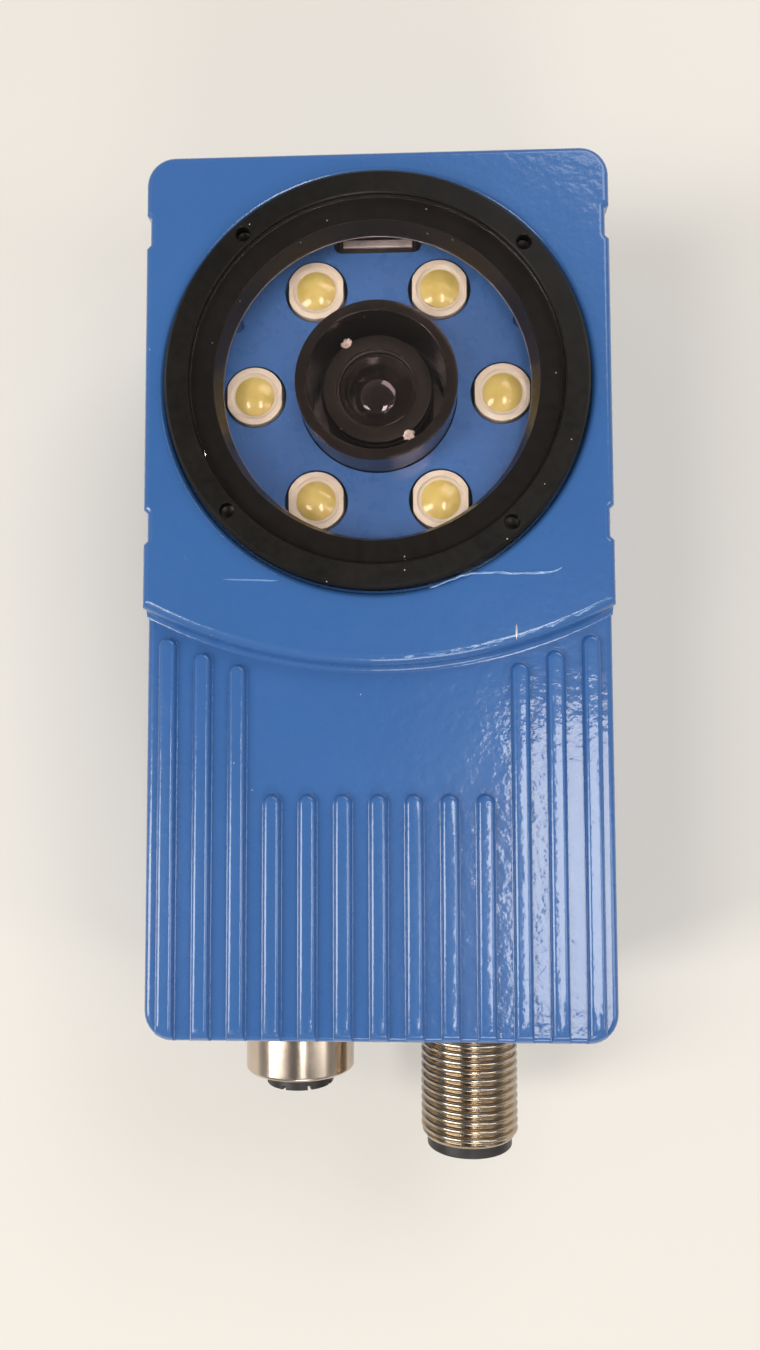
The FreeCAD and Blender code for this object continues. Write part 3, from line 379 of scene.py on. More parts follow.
lamp_hole_radius = 3.72
baffle_hole_radius = 9.33
collar_hole_radius = 7.0
slot_half_width, slot_inner, slot_outer = 5.2, 17.2, 20.0
dimple_radius, dimple_depth = 0.9, 0.6
dimple_circle, dimple_angles = 18.9, (27.5, 152.5)
slot_round = 1.0
past = 0.5
lamp_count = 6
lamp_nodes = ["led_body_%d" % number for number in range(1, lamp_count + 1)]


def drill(radius, low_z, high_z, steps, x=0.0, y=0.0):
    """A round cutter."""
    return lathed("hole", [(0, low_z), (radius, low_z), (radius, high_z), (0, high_z)],
                  steps, x, y)


def on_circle(radius, degrees):
    """A place round the window's axis, as (x, y)."""
    turn = math.radians(degrees)
    return window.x + radius * math.cos(turn), window.y + radius * math.sin(turn)


def oblong(low_x, low_y, high_x, high_y, radius):
    """The four corners of a rectangle, counter-clockwise, with their rounding."""
    return [(low_x, low_y, radius), (high_x, low_y, radius),
            (high_x, high_y, radius), (low_x, high_y, radius)]


def prism(name, corners, low_z, high_z, steps):
    """An upright block over a softened outline."""
    return stacked(name, [[(x, y, z) for x, y in softened(corners, steps)]
                          for z in (low_z, high_z)])


through = (floor_under_z - past, well_floor_z + past)
holes = [drill(lamp_hole_radius, *through, 48, *middle(node).xy) for node in lamp_nodes]
holes.append(drill(baffle_hole_radius, *through, 96, window.x, window.y))
for dimple_angle in dimple_angles:
    holes.append(lathed("hole", [
        (0, well_floor_z - dimple_depth), (dimple_radius * 0.6, well_floor_z - dimple_depth),
        (dimple_radius, well_floor_z), (dimple_radius, well_floor_z + past),
        (0, well_floor_z + past)], 32, *on_circle(dimple_circle, dimple_angle)))
holes.append(prism("hole", oblong(-slot_half_width, window.y + slot_inner, slot_half_width,
                                  window.y + slot_outer, slot_round), *through, 6))
joined(casting, together(holes), "DIFFERENCE")


def laid_back(piece, x, z):
    """Turn an upright turned piece so that its +Z points along -Y, at a given x and z."""
    turn = Matrix.Translation((x * MM, 0.0, z * MM)) @ Matrix.Rotation(math.radians(90), 4, "X")
    piece.data.transform(turn)
    return piece


plug_axis = middle("plug_shell")
socket_axis = middle("socket_sleeve")
for axis in (plug_axis, socket_axis):
    hole = drill(collar_hole_radius, -cavity_low_y - past, half_length + past, 96)
    joined(casting, laid_back(hole, axis.x, axis.z), "DIFFERENCE")

# Slivers that the cuts leave are welded, so that the casting is one closed skin.
sliver = 0.002
casting_mesh = bmesh.new()
casting_mesh.from_mesh(casting.data)
bmesh.ops.remove_doubles(casting_mesh, verts=casting_mesh.verts, dist=sliver * MM)
bmesh.ops.holes_fill(casting_mesh, edges=[edge for edge in casting_mesh.edges
                                          if edge.is_boundary], sides=0)
casting_mesh.to_mesh(casting.data)
casting_mesh.free()


def link_noise(tree, scale, detail, roughness=0.5):
    """A noise pattern on object coordinates; scale is in features for each metre."""
    place = tree.nodes.get("Texture Coordinate") or tree.nodes.new("ShaderNodeTexCoord")
    noise = tree.nodes.new("ShaderNodeTexNoise")
    noise.inputs["Scale"].default_value = scale
    noise.inputs["Detail"].default_value = detail
    noise.inputs["Roughness"].default_value = roughness
    tree.links.new(place.outputs["Object"], noise.inputs["Vector"])
    return noise.outputs["Fac"]


def spread(tree, fac, low, high, from_low=0.3, from_high=0.7):
    """Stretch a pattern's values onto a range."""
    stretch = tree.nodes.new("ShaderNodeMapRange")
    for socket, value in (("From Min", from_low), ("From Max", from_high),
                          ("To Min", low), ("To Max", high)):
        stretch.inputs[socket].default_value = value
    tree.links.new(fac, stretch.inputs["Value"])
    return stretch.outputs["Result"]


def two_tone(tree, fac, first, second):
    """Mix two colours by a pattern."""
    mix = tree.nodes.new("ShaderNodeMix")
    mix.data_type = "RGBA"
    mix.inputs["A"].default_value = (*first, 1.0)
    mix.inputs["B"].default_value = (*second, 1.0)
    tree.links.new(fac, mix.inputs["Factor"])
    return mix.outputs["Result"]


def finish(name, first, second, roughness, metallic=0.0, mottle=60.0, spread_by=0.06):
    """A shader whose colour and roughness vary a little by noise."""
    material = bpy.data.materials.new(name)
    material.use_nodes = True
    tree = material.node_tree
    shader = tree.nodes["Principled BSDF"]
    shader.inputs["Metallic"].default_value = metallic
    blotches = link_noise(tree, mottle, 3.0)
    tree.links.new(two_tone(tree, spread(tree, blotches, 0.0, 1.0), first, second),
                   shader.inputs["Base Color"])
    haze = link_noise(tree, mottle * 7, 4.0)
    tree.links.new(spread(tree, haze, max(roughness - spread_by, 0.02), roughness + spread_by),
                   shader.inputs["Roughness"])
    return material, tree, shader


def relief(tree, shader, height, depth, socket="Normal"):
    """Add relief of some depth in millimetres to what the shader already has."""
    bump = tree.nodes.new("ShaderNodeBump")
    bump.inputs["Strength"].default_value = 1.0
    bump.inputs["Distance"].default_value = depth * MM
    tree.links.new(height, bump.inputs["Height"])
    if shader.inputs[socket].links:
        tree.links.new(shader.inputs[socket].links[0].from_socket, bump.inputs["Normal"])
    tree.links.new(bump.outputs["Normal"], shader.inputs[socket])


def math_node(tree, operation, first, second=None):
    """A Math node on two values, each a socket or a number."""
    node = tree.nodes.new("ShaderNodeMath")
    node.operation = operation
    for socket, value in ((node.inputs[0], first), (node.inputs[1], second)):
        if isinstance(value, (int, float)):
            socket.default_value = value
        elif value is not None:
            tree.links.new(value, socket)
    return node.outputs[0]


def dusted(tree, shader, cells, size, share):
    """Scatter pale dust over a shader: cells for each metre, specks of size in a cell."""
    cell = tree.nodes.new("ShaderNodeTexVoronoi")
    cell.inputs["Scale"].default_value = cells
    tree.links.new(tree.nodes["Texture Coordinate"].outputs["Object"], cell.inputs["Vector"])
    pick = tree.nodes.new("ShaderNodeSeparateColor")
    tree.links.new(cell.outputs["Color"], pick.inputs[0])
    near = math_node(tree, "LESS_THAN", cell.outputs["Distance"], size)
    picked = math_node(tree, "LESS_THAN", pick.outputs[0], share)
    mix = tree.nodes.new("ShaderNodeMix")
    mix.data_type = "RGBA"
    mix.inputs["B"].default_value = (0.55, 0.52, 0.48, 1.0)
    tree.links.new(math_node(tree, "MULTIPLY", near, picked), mix.inputs["Factor"])
    tree.links.new(shader.inputs["Base Color"].links[0].from_socket, mix.inputs["A"])
    tree.links.new(mix.outputs["Result"], shader.inputs["Base Color"])


def dressed(piece, material, body="housing", nodes=(), sharp=35.0):
    """Give the piece its shading, finish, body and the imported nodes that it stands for."""
    shaded(piece, sharp)
    piece.data.materials.clear()
    piece.data.materials.append(material)
    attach(piece, body)
    if nodes:
        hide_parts(*nodes)


enamel, enamel_tree, enamel_shader = finish("blue_enamel", (0.037, 0.128, 0.36),
                                            (0.041, 0.138, 0.385), 0.28, spread_by=0.02)
enamel_shader.inputs["Specular IOR Level"].default_value = 0.3
enamel_shader.inputs["Coat Weight"].default_value = 0.8
enamel_shader.inputs["Coat Roughness"].default_value = 0.08
relief(enamel_tree, enamel_shader, link_noise(enamel_tree, 190.0, 1.0), 0.042)
relief(enamel_tree, enamel_shader, link_noise(enamel_tree, 900.0, 2.0), 0.03)
relief(enamel_tree, enamel_shader, link_noise(enamel_tree, 3200.0, 1.0), 0.003)
coat_bump = enamel_shader.inputs["Normal"].links[0].from_socket
enamel_tree.links.new(coat_bump, enamel_shader.inputs["Coat Normal"])
dusted(enamel_tree, enamel_shader, 420.0, 0.03, 0.25)
dressed(casting, enamel, nodes=("front_housing",))


# ------------------------------------------------------------------------- Cooling ribs
# Thirteen ribs are cast with the shell: three long ones at each side that stop short of
# the arc, and seven short ones between them. Their crests, feet and noses are rounded.
rib_count = 13
rib_pitch = 4.0
rib_half = 0.975
rib_height = 0.9
rib_crest_round = 0.5
rib_foot_round = 0.16
rib_nose_round = 1.7
rib_root = 0.9
rib_overrun = 1.0
rib_to_step = 2.0
short_rib_top_y = 27.5 - half_length
long_ribs_each_side = 3


def rib_section():
    """Half of a rib's section from its root outwards and up, as (across, z)."""
    top_z = front_face_z + rib_height
    half = [(rib_half + rib_foot_round, front_face_z - rib_root)]
    half += arc_points((rib_half + rib_foot_round, front_face_z + rib_foot_round),
                       rib_foot_round, -90, -180, 4)
    half += arc_points((rib_half - rib_crest_round, top_z - rib_crest_round),
                       rib_crest_round, 0, 90, 6)
    return half


def rib_pattern(low_y, top_y, end_steps=14):
    """One rib along Y, with a half-round top end."""
    half = rib_section()
    section = [(-across, z) for across, z in half]
    section += [(0.0, half[-1][1])] + half[::-1]
    points, faces = [], []
    width = len(section)
    centre_y = top_y - rib_half
    for y in (low_y, centre_y):
        points += [(across, y, z) for across, z in section]
    for index in range(width - 1):
        faces.append((index, index + width, index + width + 1, index + 1))
    pole = width + len(half)
    rows = [[width + width - 1 - index for index in range(len(half))]]
    for step in range(1, end_steps):
        turn = math.pi * step / end_steps
        rows.append(list(range(len(points), len(points) + len(half))))
        points += [(across * math.cos(turn), centre_y + across * math.sin(turn), z)
                   for across, z in half]
    rows.append([width + index for index in range(len(half))])
    for first, second in zip(rows, rows[1:]):
        for index in range(len(half) - 1):
            faces.append((first[index], second[index], second[index + 1], first[index + 1]))
        faces.append((first[-1], second[-1], pole))
    rib = new_piece("cooling_ribs", points, faces)
    work = bmesh.new()
    work.from_mesh(rib.data)
    bmesh.ops.holes_fill(work, edges=work.edges, sides=0)
    bmesh.ops.recalc_face_normals(work, faces=work.faces)
    work.to_mesh(rib.data)
    work.free()
    return rib


def node_tree_for(name, inputs):
    """An empty geometry tree with named inputs, as (tree, input node, output node)."""
    tree = bpy.data.node_groups.new(name, "GeometryNodeTree")
    tree.interface.new_socket("Geometry", in_out="INPUT", socket_type="NodeSocketGeometry")
    tree.interface.new_socket("Geometry", in_out="OUTPUT", socket_type="NodeSocketGeometry")
    for socket_name, kind in inputs:
        tree.interface.new_socket(socket_name, in_out="INPUT", socket_type="NodeSocket" + kind)
    return tree, tree.nodes.new("NodeGroupInput"), tree.nodes.new("NodeGroupOutput")


def painted_end(tree, geometry, given, result):
    """End a tree on its real geometry in the given material."""
    paint = tree.nodes.new("GeometryNodeSetMaterial")
    tree.links.new(geometry, paint.inputs["Geometry"])
    tree.links.new(given.outputs["Material"], paint.inputs["Material"])
    tree.links.new(paint.outputs[0], result.inputs[0])


def grown(piece, tree, values):
    """Run a geometry tree on the piece with named values and keep the plain mesh."""
    modifier = piece.modifiers.new(tree.name, "NODES")
    modifier.node_group = tree
    for item in tree.interface.items_tree:
        if item.in_out == "INPUT" and item.name in values:
            modifier[item.identifier] = values[item.name]
    settled(piece)


def rib_tree():
    """Rows of ribs: those near the sides are stretched to follow the arc."""
    tree, given, result = node_tree_for("ribs", [
        ("Count", "Int"), ("Pitch", "Float"), ("Arc Radius", "Float"), ("Arc Centre", "Float"),
        ("Gap", "Float"), ("Short Top", "Float"), ("Long From", "Float"),
        ("Stretch From", "Float"), ("Material", "Material")])
    link = tree.links.new
    row = tree.nodes.new("GeometryNodeMeshLine")
    row.mode = "OFFSET"
    offset = tree.nodes.new("ShaderNodeCombineXYZ")
    start = tree.nodes.new("ShaderNodeCombineXYZ")
    steps = math_node(tree, "SUBTRACT", given.outputs["Count"], 1.0)
    first_x = math_node(tree, "MULTIPLY", math_node(tree, "MULTIPLY", steps, -0.5),
                        given.outputs["Pitch"])
    link(given.outputs["Count"], row.inputs["Count"])
    link(given.outputs["Pitch"], offset.inputs["X"])
    link(first_x, start.inputs["X"])
    link(offset.outputs[0], row.inputs["Offset"])
    link(start.outputs[0], row.inputs["Start Location"])
    where = tree.nodes.new("GeometryNodeInputPosition")
    parts = tree.nodes.new("ShaderNodeSeparateXYZ")
    link(where.outputs[0], parts.inputs[0])
    across = parts.outputs["X"]
    arc_drop = math_node(tree, "SQRT", math_node(
        tree, "SUBTRACT", math_node(tree, "POWER", given.outputs["Arc Radius"], 2.0),
        math_node(tree, "POWER", across, 2.0)))
    long_top = math_node(tree, "SUBTRACT", math_node(
        tree, "SUBTRACT", given.outputs["Arc Centre"], arc_drop), given.outputs["Gap"])
    is_long = math_node(tree, "GREATER_THAN", math_node(tree, "ABSOLUTE", across),
                        given.outputs["Long From"])
    extra = math_node(tree, "MULTIPLY", is_long, math_node(
        tree, "SUBTRACT", long_top, given.outputs["Short Top"]))
    store = tree.nodes.new("GeometryNodeStoreNamedAttribute")
    store.data_type = "FLOAT"
    store.inputs["Name"].default_value = "extra_length"
    link(row.outputs[0], store.inputs["Geometry"])
    link(extra, store.inputs["Value"])
    copies = tree.nodes.new("GeometryNodeInstanceOnPoints")
    link(store.outputs[0], copies.inputs["Points"])
    link(given.outputs["Geometry"], copies.inputs["Instance"])
    real = tree.nodes.new("GeometryNodeRealizeInstances")
    link(copies.outputs[0], real.inputs[0])
    read = tree.nodes.new("GeometryNodeInputNamedAttribute")
    read.data_type = "FLOAT"
    read.inputs["Name"].default_value = "extra_length"
    place = tree.nodes.new("GeometryNodeInputPosition")
    along = tree.nodes.new("ShaderNodeSeparateXYZ")
    link(place.outputs[0], along.inputs[0])
    far = math_node(tree, "GREATER_THAN", along.outputs["Y"], given.outputs["Stretch From"])
    shift = tree.nodes.new("ShaderNodeCombineXYZ")
    link(math_node(tree, "MULTIPLY", far, read.outputs[0]), shift.inputs["Y"])
    move = tree.nodes.new("GeometryNodeSetPosition")
    link(real.outputs[0], move.inputs["Geometry"])
    link(shift.outputs[0], move.inputs["Offset"])
    painted_end(tree, move.outputs[0], given, result)
    return tree


ribs = rib_pattern(-half_length - rib_overrun, short_rib_top_y)
grown(ribs, rib_tree(), {
    "Count": rib_count, "Pitch": rib_pitch * MM, "Arc Radius": step_radius * MM,
    "Arc Centre": step_centre_y * MM, "Gap": rib_to_step * MM,
    "Short Top": short_rib_top_y * MM,
    "Long From": ((rib_count - 1) / 2 - long_ribs_each_side + 0.5) * rib_pitch * MM,
    "Stretch From": (short_rib_top_y - 2 * rib_half) * MM, "Material": enamel})
rib_top_z = front_face_z + rib_height
envelope = [housing_ring(front_face_z - rib_root, 0.0)]
envelope += [housing_ring(z, half_width - edge) for edge, z in
             arc_points((half_width - rib_nose_round, rib_top_z - rib_nose_round),
                        rib_nose_round, 0, 90, 7)]
joined(ribs, stacked("rib_envelope", envelope), "INTERSECT")
dressed(ribs, enamel)


# ------------------------------------------------------------------- Runs in the paint
# The enamel ran before it was baked: a wavy ridge stands below the window ring, short
# runs and specks follow the crown of the arc, and one chip shows bare metal. The runs and
# specks are coloured a lighter, glossier blue than the enamel: a painted highlight.
wear = random.Random(7)


def paint_bead(points, z, width):
    """A low wavy bead of paint through (x, y) points, half sunk in the face at z."""
    curve = bpy.data.curves.new("bead", "CURVE")
    curve.dimensions = "3D"
    curve.bevel_depth = width / 2 * MM
    curve.bevel_resolution = 2
    curve.resolution_u = 3
    curve.use_fill_caps = True
    spline = curve.splines.new("NURBS")
    spline.points.add(len(points) - 1)
    for place, (x, y) in zip(spline.points, points):
        place.co = (x * MM, y * MM, z * MM, 1.0)
        place.radius = wear.uniform(0.5, 1.2)
    spline.points[0].radius = 0.2
    spline.points[-1].radius = 0.2
    spline.order_u = 3
    spline.use_endpoint_u = True
    drawn = bpy.data.objects.new("bead", curve)
    bpy.context.scene.collection.objects.link(drawn)
    settled_mesh = bpy.data.meshes.new_from_object(drawn)
    bpy.data.objects.remove(drawn)
    bead = bpy.data.objects.new("bead", settled_mesh)
    bpy.context.scene.collection.objects.link(bead)
    outward(bead)
    return bead


def wavy(points, spacing, wave):
    """Points at even spacing along a route, each pushed a little to one side."""
    result = []
    for (x, y), (next_x, next_y) in zip(points, points[1:]):
        count = max(1, round(math.hypot(next_x - x, next_y - y) / spacing))
        for index in range(count):
            share = index / count
            result.append((x + (next_x - x) * share + wear.uniform(-wave, wave),
                           y + (next_y - y) * share + wear.uniform(-wave, wave)))
    return result + [points[-1]]


def on_arc(x, radius):
    return step_centre_y - math.sqrt(radius ** 2 - x ** 2)


ridge_route = [(5.9, 0.0), (7.7, 0.6), (9.4, 1.25), (11.5, 1.65), (16.0, 1.5), (19.2, 1.5),
               (20.6, 2.2)]
runs = [paint_bead(wavy(ridge_route, 0.6, 0.1), window_face_z, 0.34),
        paint_bead(wavy([(-18.3, 1.2), (-10.3, 0.9)], 1.5, 0.04), window_face_z - 0.07, 0.24),
        paint_bead([(-22.0, 4.5), (-21.6, 3.5), (-21.0, 2.8)], window_face_z - 0.04, 0.2),
        paint_bead([(15.1, -1.3), (15.3, -2.4), (15.45, -3.5)], window_face_z - 0.04, 0.13)]
crown_radius = step_radius - 0.85
run_x = 3.0
while run_x < half_width - 1.5:
    run_end = min(run_x + wear.uniform(0.8, 2.6), half_width - 0.9)
    route = wavy([(run_x + (run_end - run_x) * share, on_arc(
        run_x + (run_end - run_x) * share, crown_radius)) for share in (0.0, 0.5, 1.0)],
        0.4, 0.17)
    runs.append(paint_bead(route, window_face_z - 0.09, wear.uniform(0.26, 0.46)))
    run_x = run_end + wear.uniform(0.2, 1.4)
for speck_x in (-19.3, -18.6, -8.9, -8.3, -2.6, 0.4, 1.9, 4.6, 6.3, 9.4, 11.2, 17.2):
    speck_y = on_arc(speck_x, crown_radius + wear.uniform(-0.6, 0.1))
    runs.append(paint_bead([(speck_x, speck_y), (speck_x + wear.uniform(0.25, 0.5),
                                                 speck_y + wear.uniform(-0.1, 0.1))],
                           window_face_z - 0.06, wear.uniform(0.26, 0.44)))
paint_runs = together(runs)
paint_runs.name = "paint_runs"
# The lighter blue of the runs and specks is a painted highlight, not a different paint.
runs_painted_highlight, _, runs_highlight_shader = finish("runs_painted_highlight", (0.11, 0.24, 0.52), (0.2, 0.36, 0.66),
                                   0.12, mottle=600.0)
runs_highlight_shader.inputs["Coat Weight"].default_value = 1.0
runs_highlight_shader.inputs["Coat Roughness"].default_value = 0.05
dressed(paint_runs, runs_painted_highlight, sharp=80.0)
chip = paint_bead([(15.45, -3.6), (15.42, -4.4), (15.47, -5.2), (15.43, -5.9)],
                  window_face_z - 0.08, 0.36)
chip.name = "paint_chip"
bare_metal = finish("bare_metal", (0.5, 0.48, 0.45), (0.7, 0.68, 0.64), 0.4, 0.6, 500.0)[0]
dressed(chip, bare_metal, sharp=80.0)


# --------------------------------------------------------------------------- Rear cover
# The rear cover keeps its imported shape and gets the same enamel. The camera rests on it,
# six countersunk screws hold it, and four tapped holes take the user's bracket.
cover = frame["nodes"]["rear_cover"]
cover_copy = bpy.data.objects.new("back_cover", cover.data.copy())
bpy.context.scene.collection.objects.link(cover_copy)
outward(cover_copy)
dressed(cover_copy, enamel, nodes=("rear_cover",))


# -------------------------------------------------------------------------- Lamp bodies
# Six white moulded lamp bodies stand in holes of the well floor. Each has flats, a low
# rim and a shallow dish that holds the yellow dome.
lamp_radius = 3.44
lamp_flat = 3.2
lamp_steps = 72
lamp_circle = (middle("led_body_1") - window).xy.length
lamp_low_z = lowest("led_body_1").z
lamp_top_z = highest("led_body_1").z
dome_radius = 2.29
dome_height = highest("led_dome_1").z - lamp_top_z


def ring_tree():
    """Copies of the piece on a circle, all one way (Turned 0) or each outwards (Turned 1)."""
    tree, given, result = node_tree_for("ring_of_copies", [
        ("Count", "Int"), ("Radius", "Float"), ("First Angle", "Float"),
        ("Centre", "Vector"), ("Turned", "Float"), ("Material", "Material")])
    link = tree.links.new
    circle = tree.nodes.new("GeometryNodeMeshCircle")
    link(given.outputs["Count"], circle.inputs["Vertices"])
    link(given.outputs["Radius"], circle.inputs["Radius"])
    swing = tree.nodes.new("GeometryNodeTransform")
    heading = tree.nodes.new("ShaderNodeCombineXYZ")
    link(given.outputs["First Angle"], heading.inputs["Z"])
    link(circle.outputs[0], swing.inputs["Geometry"])
    link(heading.outputs[0], swing.inputs["Rotation"])
    index = tree.nodes.new("GeometryNodeInputIndex")
    share = math_node(tree, "DIVIDE", index.outputs[0], given.outputs["Count"])
    full = math_node(tree, "MULTIPLY", share, 2 * math.pi)
    heading_there = math_node(tree, "ADD", full, given.outputs["First Angle"])
    facing = math_node(tree, "MULTIPLY", heading_there, given.outputs["Turned"])
    turn = tree.nodes.new("ShaderNodeCombineXYZ")
    link(facing, turn.inputs["Z"])
    copies = tree.nodes.new("GeometryNodeInstanceOnPoints")
    link(swing.outputs[0], copies.inputs["Points"])
    link(given.outputs["Geometry"], copies.inputs["Instance"])
    link(turn.outputs[0], copies.inputs["Rotation"])
    move = tree.nodes.new("GeometryNodeTransform")
    link(copies.outputs[0], move.inputs["Geometry"])
    link(given.outputs["Centre"], move.inputs["Translation"])
    real = tree.nodes.new("GeometryNodeRealizeInstances")
    link(move.outputs[0], real.inputs[0])
    painted_end(tree, real.outputs[0], given, result)
    return tree


copies_on_ring = ring_tree()


def ringed(piece, material, count, radius, first_angle=0.0, x=0.0, y=0.0, turned=0.0):
    """Put copies of a piece made at the origin on a circle; sizes in millimetres."""
    grown(piece, copies_on_ring, {
        "Count": count, "Radius": radius * MM, "First Angle": math.radians(first_angle),
        "Centre": (x * MM, y * MM, 0.0), "Turned": turned, "Material": material})


def lamp_ring(radius, z):
    """A round ring of the lamp body with its two flats."""
    ring = []
    for step in range(lamp_steps):
        turn = 2 * math.pi * step / lamp_steps
        x = max(-lamp_flat, min(lamp_flat, radius * math.cos(turn)))
        ring.append((x, radius * math.sin(turn), z))
    return ring


rim_round = 0.1
dish_depth = 0.3
lamp_profile = (
    (lamp_radius, lamp_low_z), (lamp_radius, lamp_top_z - rim_round),
    (lamp_radius - 0.03, lamp_top_z - 0.03), (lamp_radius - rim_round, lamp_top_z),
    (dome_radius + 0.5, lamp_top_z), (dome_radius + 0.42, lamp_top_z - 0.06),
    (dome_radius + 0.36, lamp_top_z - 0.2), (dome_radius + 0.2, lamp_top_z - dish_depth),
    (dome_radius, lamp_top_z - dish_depth))
lamps = stacked("lamp_bodies", [lamp_ring(radius, z) for radius, z in lamp_profile])
outward(lamps)
lamp_white, _, lamp_shader = finish("lamp_white", (0.52, 0.51, 0.43), (0.63, 0.64, 0.55),
                                    0.32, mottle=300.0)
lamp_shader.inputs["Subsurface Weight"].default_value = 0.15
lamp_shader.inputs["Subsurface Scale"].default_value = 0.0006
ringed(lamps, lamp_white, lamp_count, lamp_circle, 0.0, window.x, window.y)
dressed(lamps, lamp_white, nodes=lamp_nodes)


# --------------------------------------------------------------------------- Lamp domes
# Each lamp has a shallow dome of clear silicone over yellow phosphor. It is glossy, and
# a little light goes into it.
dome_sink = 0.12
dome_root_z = lamp_top_z - 0.4
cap_height = dome_height + dome_sink
cap_radius = (dome_radius ** 2 + cap_height ** 2) / (2 * cap_height)
cap_angle = math.degrees(math.acos(dome_radius / cap_radius))
dome_outline = [(0, dome_root_z), (dome_radius, dome_root_z)]
dome_outline += arc_points((0.0, lamp_top_z + dome_height - cap_radius), cap_radius,
                           cap_angle, 90, 10)[:-1]
dome_outline.append((0, lamp_top_z + dome_height))
domes = lathed("lamp_domes", dome_outline, 48)
phosphor, _, phosphor_shader = finish("lamp_phosphor", (0.48, 0.42, 0.12),
                                      (0.58, 0.53, 0.18), 0.22, mottle=500.0)
phosphor_shader.inputs["Coat Weight"].default_value = 1.0
phosphor_shader.inputs["Coat Roughness"].default_value = 0.04
phosphor_shader.inputs["Subsurface Weight"].default_value = 0.2
phosphor_shader.inputs["Subsurface Scale"].default_value = 0.0005
ringed(domes, phosphor, lamp_count, lamp_circle, 0.0, window.x, window.y)
dressed(domes, phosphor,
        nodes=["led_dome_%d" % number for number in range(1, lamp_count + 1)])


# --------------------------------------------------------------------------- Board plug
# A black moulded plug of the lamp board shows in the slot of the well floor, with a thin
# bright spring strip along it.
plug_low, plug_high = lowest("led_plug"), highest("led_plug")
strip_height = 0.3
strip_margin = 0.46
strip_depth = 0.9
strip_inset = 0.05


def soft_block(name, corners, low_z, high_z, edge):
    """An upright block with small rounded edges all round its top."""
    rings = [[(x, y, low_z) for x, y in softened(corners, 3)]]
    for inset, z in arc_points((0.0, high_z - edge), edge, 0, 90, 3):
        rings.append([(x, y, z) for x, y in softened(drawn_in(corners, edge - inset), 3)])
    return stacked(name, rings)


board_plug = soft_block("board_plug", oblong(*plug_low.xy, *plug_high.xy, 0.15), plug_low.z,
                        plug_high.z - strip_height, 0.1)
black_moulding, moulding_tree, moulding_shader = finish(
    "black_moulding", (0.012, 0.012, 0.013), (0.028, 0.027, 0.027), 0.42, mottle=400.0)
relief(moulding_tree, moulding_shader, link_noise(moulding_tree, 5000.0, 2.0), 0.004)
dressed(board_plug, black_moulding, nodes=("led_plug",))
strip_corners = oblong(plug_low.x + strip_margin, plug_high.y - strip_inset - strip_depth,
                       plug_high.x - strip_margin, plug_high.y - strip_inset, 0.1)
plug_strip = soft_block("plug_strip", strip_corners, plug_high.z - strip_height,
                        plug_high.z, 0.08)
tinned = finish("tinned_strip", (0.6, 0.59, 0.57), (0.85, 0.84, 0.82), 0.45, 0.5, 700.0, 0.1)[0]
dressed(plug_strip, tinned)


# ------------------------------------------------------------------------- Light baffle
# A turned tube, anodised black, keeps the lamps' light out of the lens. Its rim nearly
# touches the glass.
tube_outer = 9.23
tube_inner = 7.96
tube_top_z = highest("light_baffle").z
tube_low_z = lowest("light_baffle").z
tube_flange = half_across("light_baffle")
baffle = lathed("light_baffle_tube", softened([
    (tube_inner, tube_low_z, 0.05), (tube_flange, tube_low_z, 0.05),
    (tube_flange, floor_under_z, 0.05), (tube_outer, floor_under_z, 0.05),
    (tube_outer, tube_top_z, 0.14), (tube_inner, tube_top_z, 0.14)]),
    160, window.x, window.y)


def turning_marks(tree, shader, centre, spacing, depth):
    """Fine rings left by the lathe, round an upright axis through centre."""
    place = tree.nodes.new("ShaderNodeTexCoord")
    shift = tree.nodes.new("ShaderNodeMapping")
    shift.inputs["Location"].default_value = (-centre[0] * MM, -centre[1] * MM, 0.0)
    tree.links.new(place.outputs["Object"], shift.inputs["Vector"])
    rings = tree.nodes.new("ShaderNodeTexWave")
    rings.wave_type = "RINGS"
    rings.rings_direction = "Z"
    rings.inputs["Scale"].default_value = 1.0 / (20.0 * spacing * MM)
    rings.inputs["Distortion"].default_value = 1.5
    rings.inputs["Detail"].default_value = 2.0
    tree.links.new(shift.outputs[0], rings.inputs["Vector"])
    relief(tree, shader, rings.outputs["Fac"], depth)


sealed, sealed_tree, sealed_shader = finish("sealed_black", (0.005, 0.0042, 0.0036),
                                            (0.009, 0.0078, 0.0066), 0.17, mottle=120.0)
turning_marks(sealed_tree, sealed_shader, window, 0.25, 0.0008)
dusted(sealed_tree, sealed_shader, 700.0, 0.055, 0.15)
dressed(baffle, sealed, nodes=("light_baffle",), sharp=30.0)


# ---------------------------------------------------------------- Lens barrel, retainer
# The lens barrel slides in the tube to focus. A screwed ring with a conical mouth holds
# the front lens, and two dots of locking glue sit at the barrel's edge.
barrel_top_z = highest("lens_barrel").z
barrel_low_z = lowest("lens_barrel").z
barrel_radius = half_across("lens_barrel")
barrel_bore = 4.4
barrel_shoulder_z = barrel_top_z - 8.9
barrel_stem = 6.0
barrel_rim_height, barrel_rim_step = 1.0, 0.25
barrel = lathed("lens_barrel_turned", softened([
    (barrel_bore, barrel_low_z, 0.05), (barrel_stem, barrel_low_z, 0.1),
    (barrel_stem, barrel_shoulder_z, 0.05), (barrel_radius, barrel_shoulder_z, 0.1),
    (barrel_radius, barrel_top_z - barrel_rim_height, 0.05),
    (barrel_radius - barrel_rim_step, barrel_top_z - barrel_rim_height + 0.1, 0.05),
    (barrel_radius - barrel_rim_step, barrel_top_z, 0.15),
    (barrel_bore + 0.35, barrel_top_z, 0.1),
    (barrel_bore + 0.3, barrel_top_z - 0.25, 0.05), (barrel_bore, barrel_top_z - 0.3, 0.1)]),
    128, window.x, window.y)
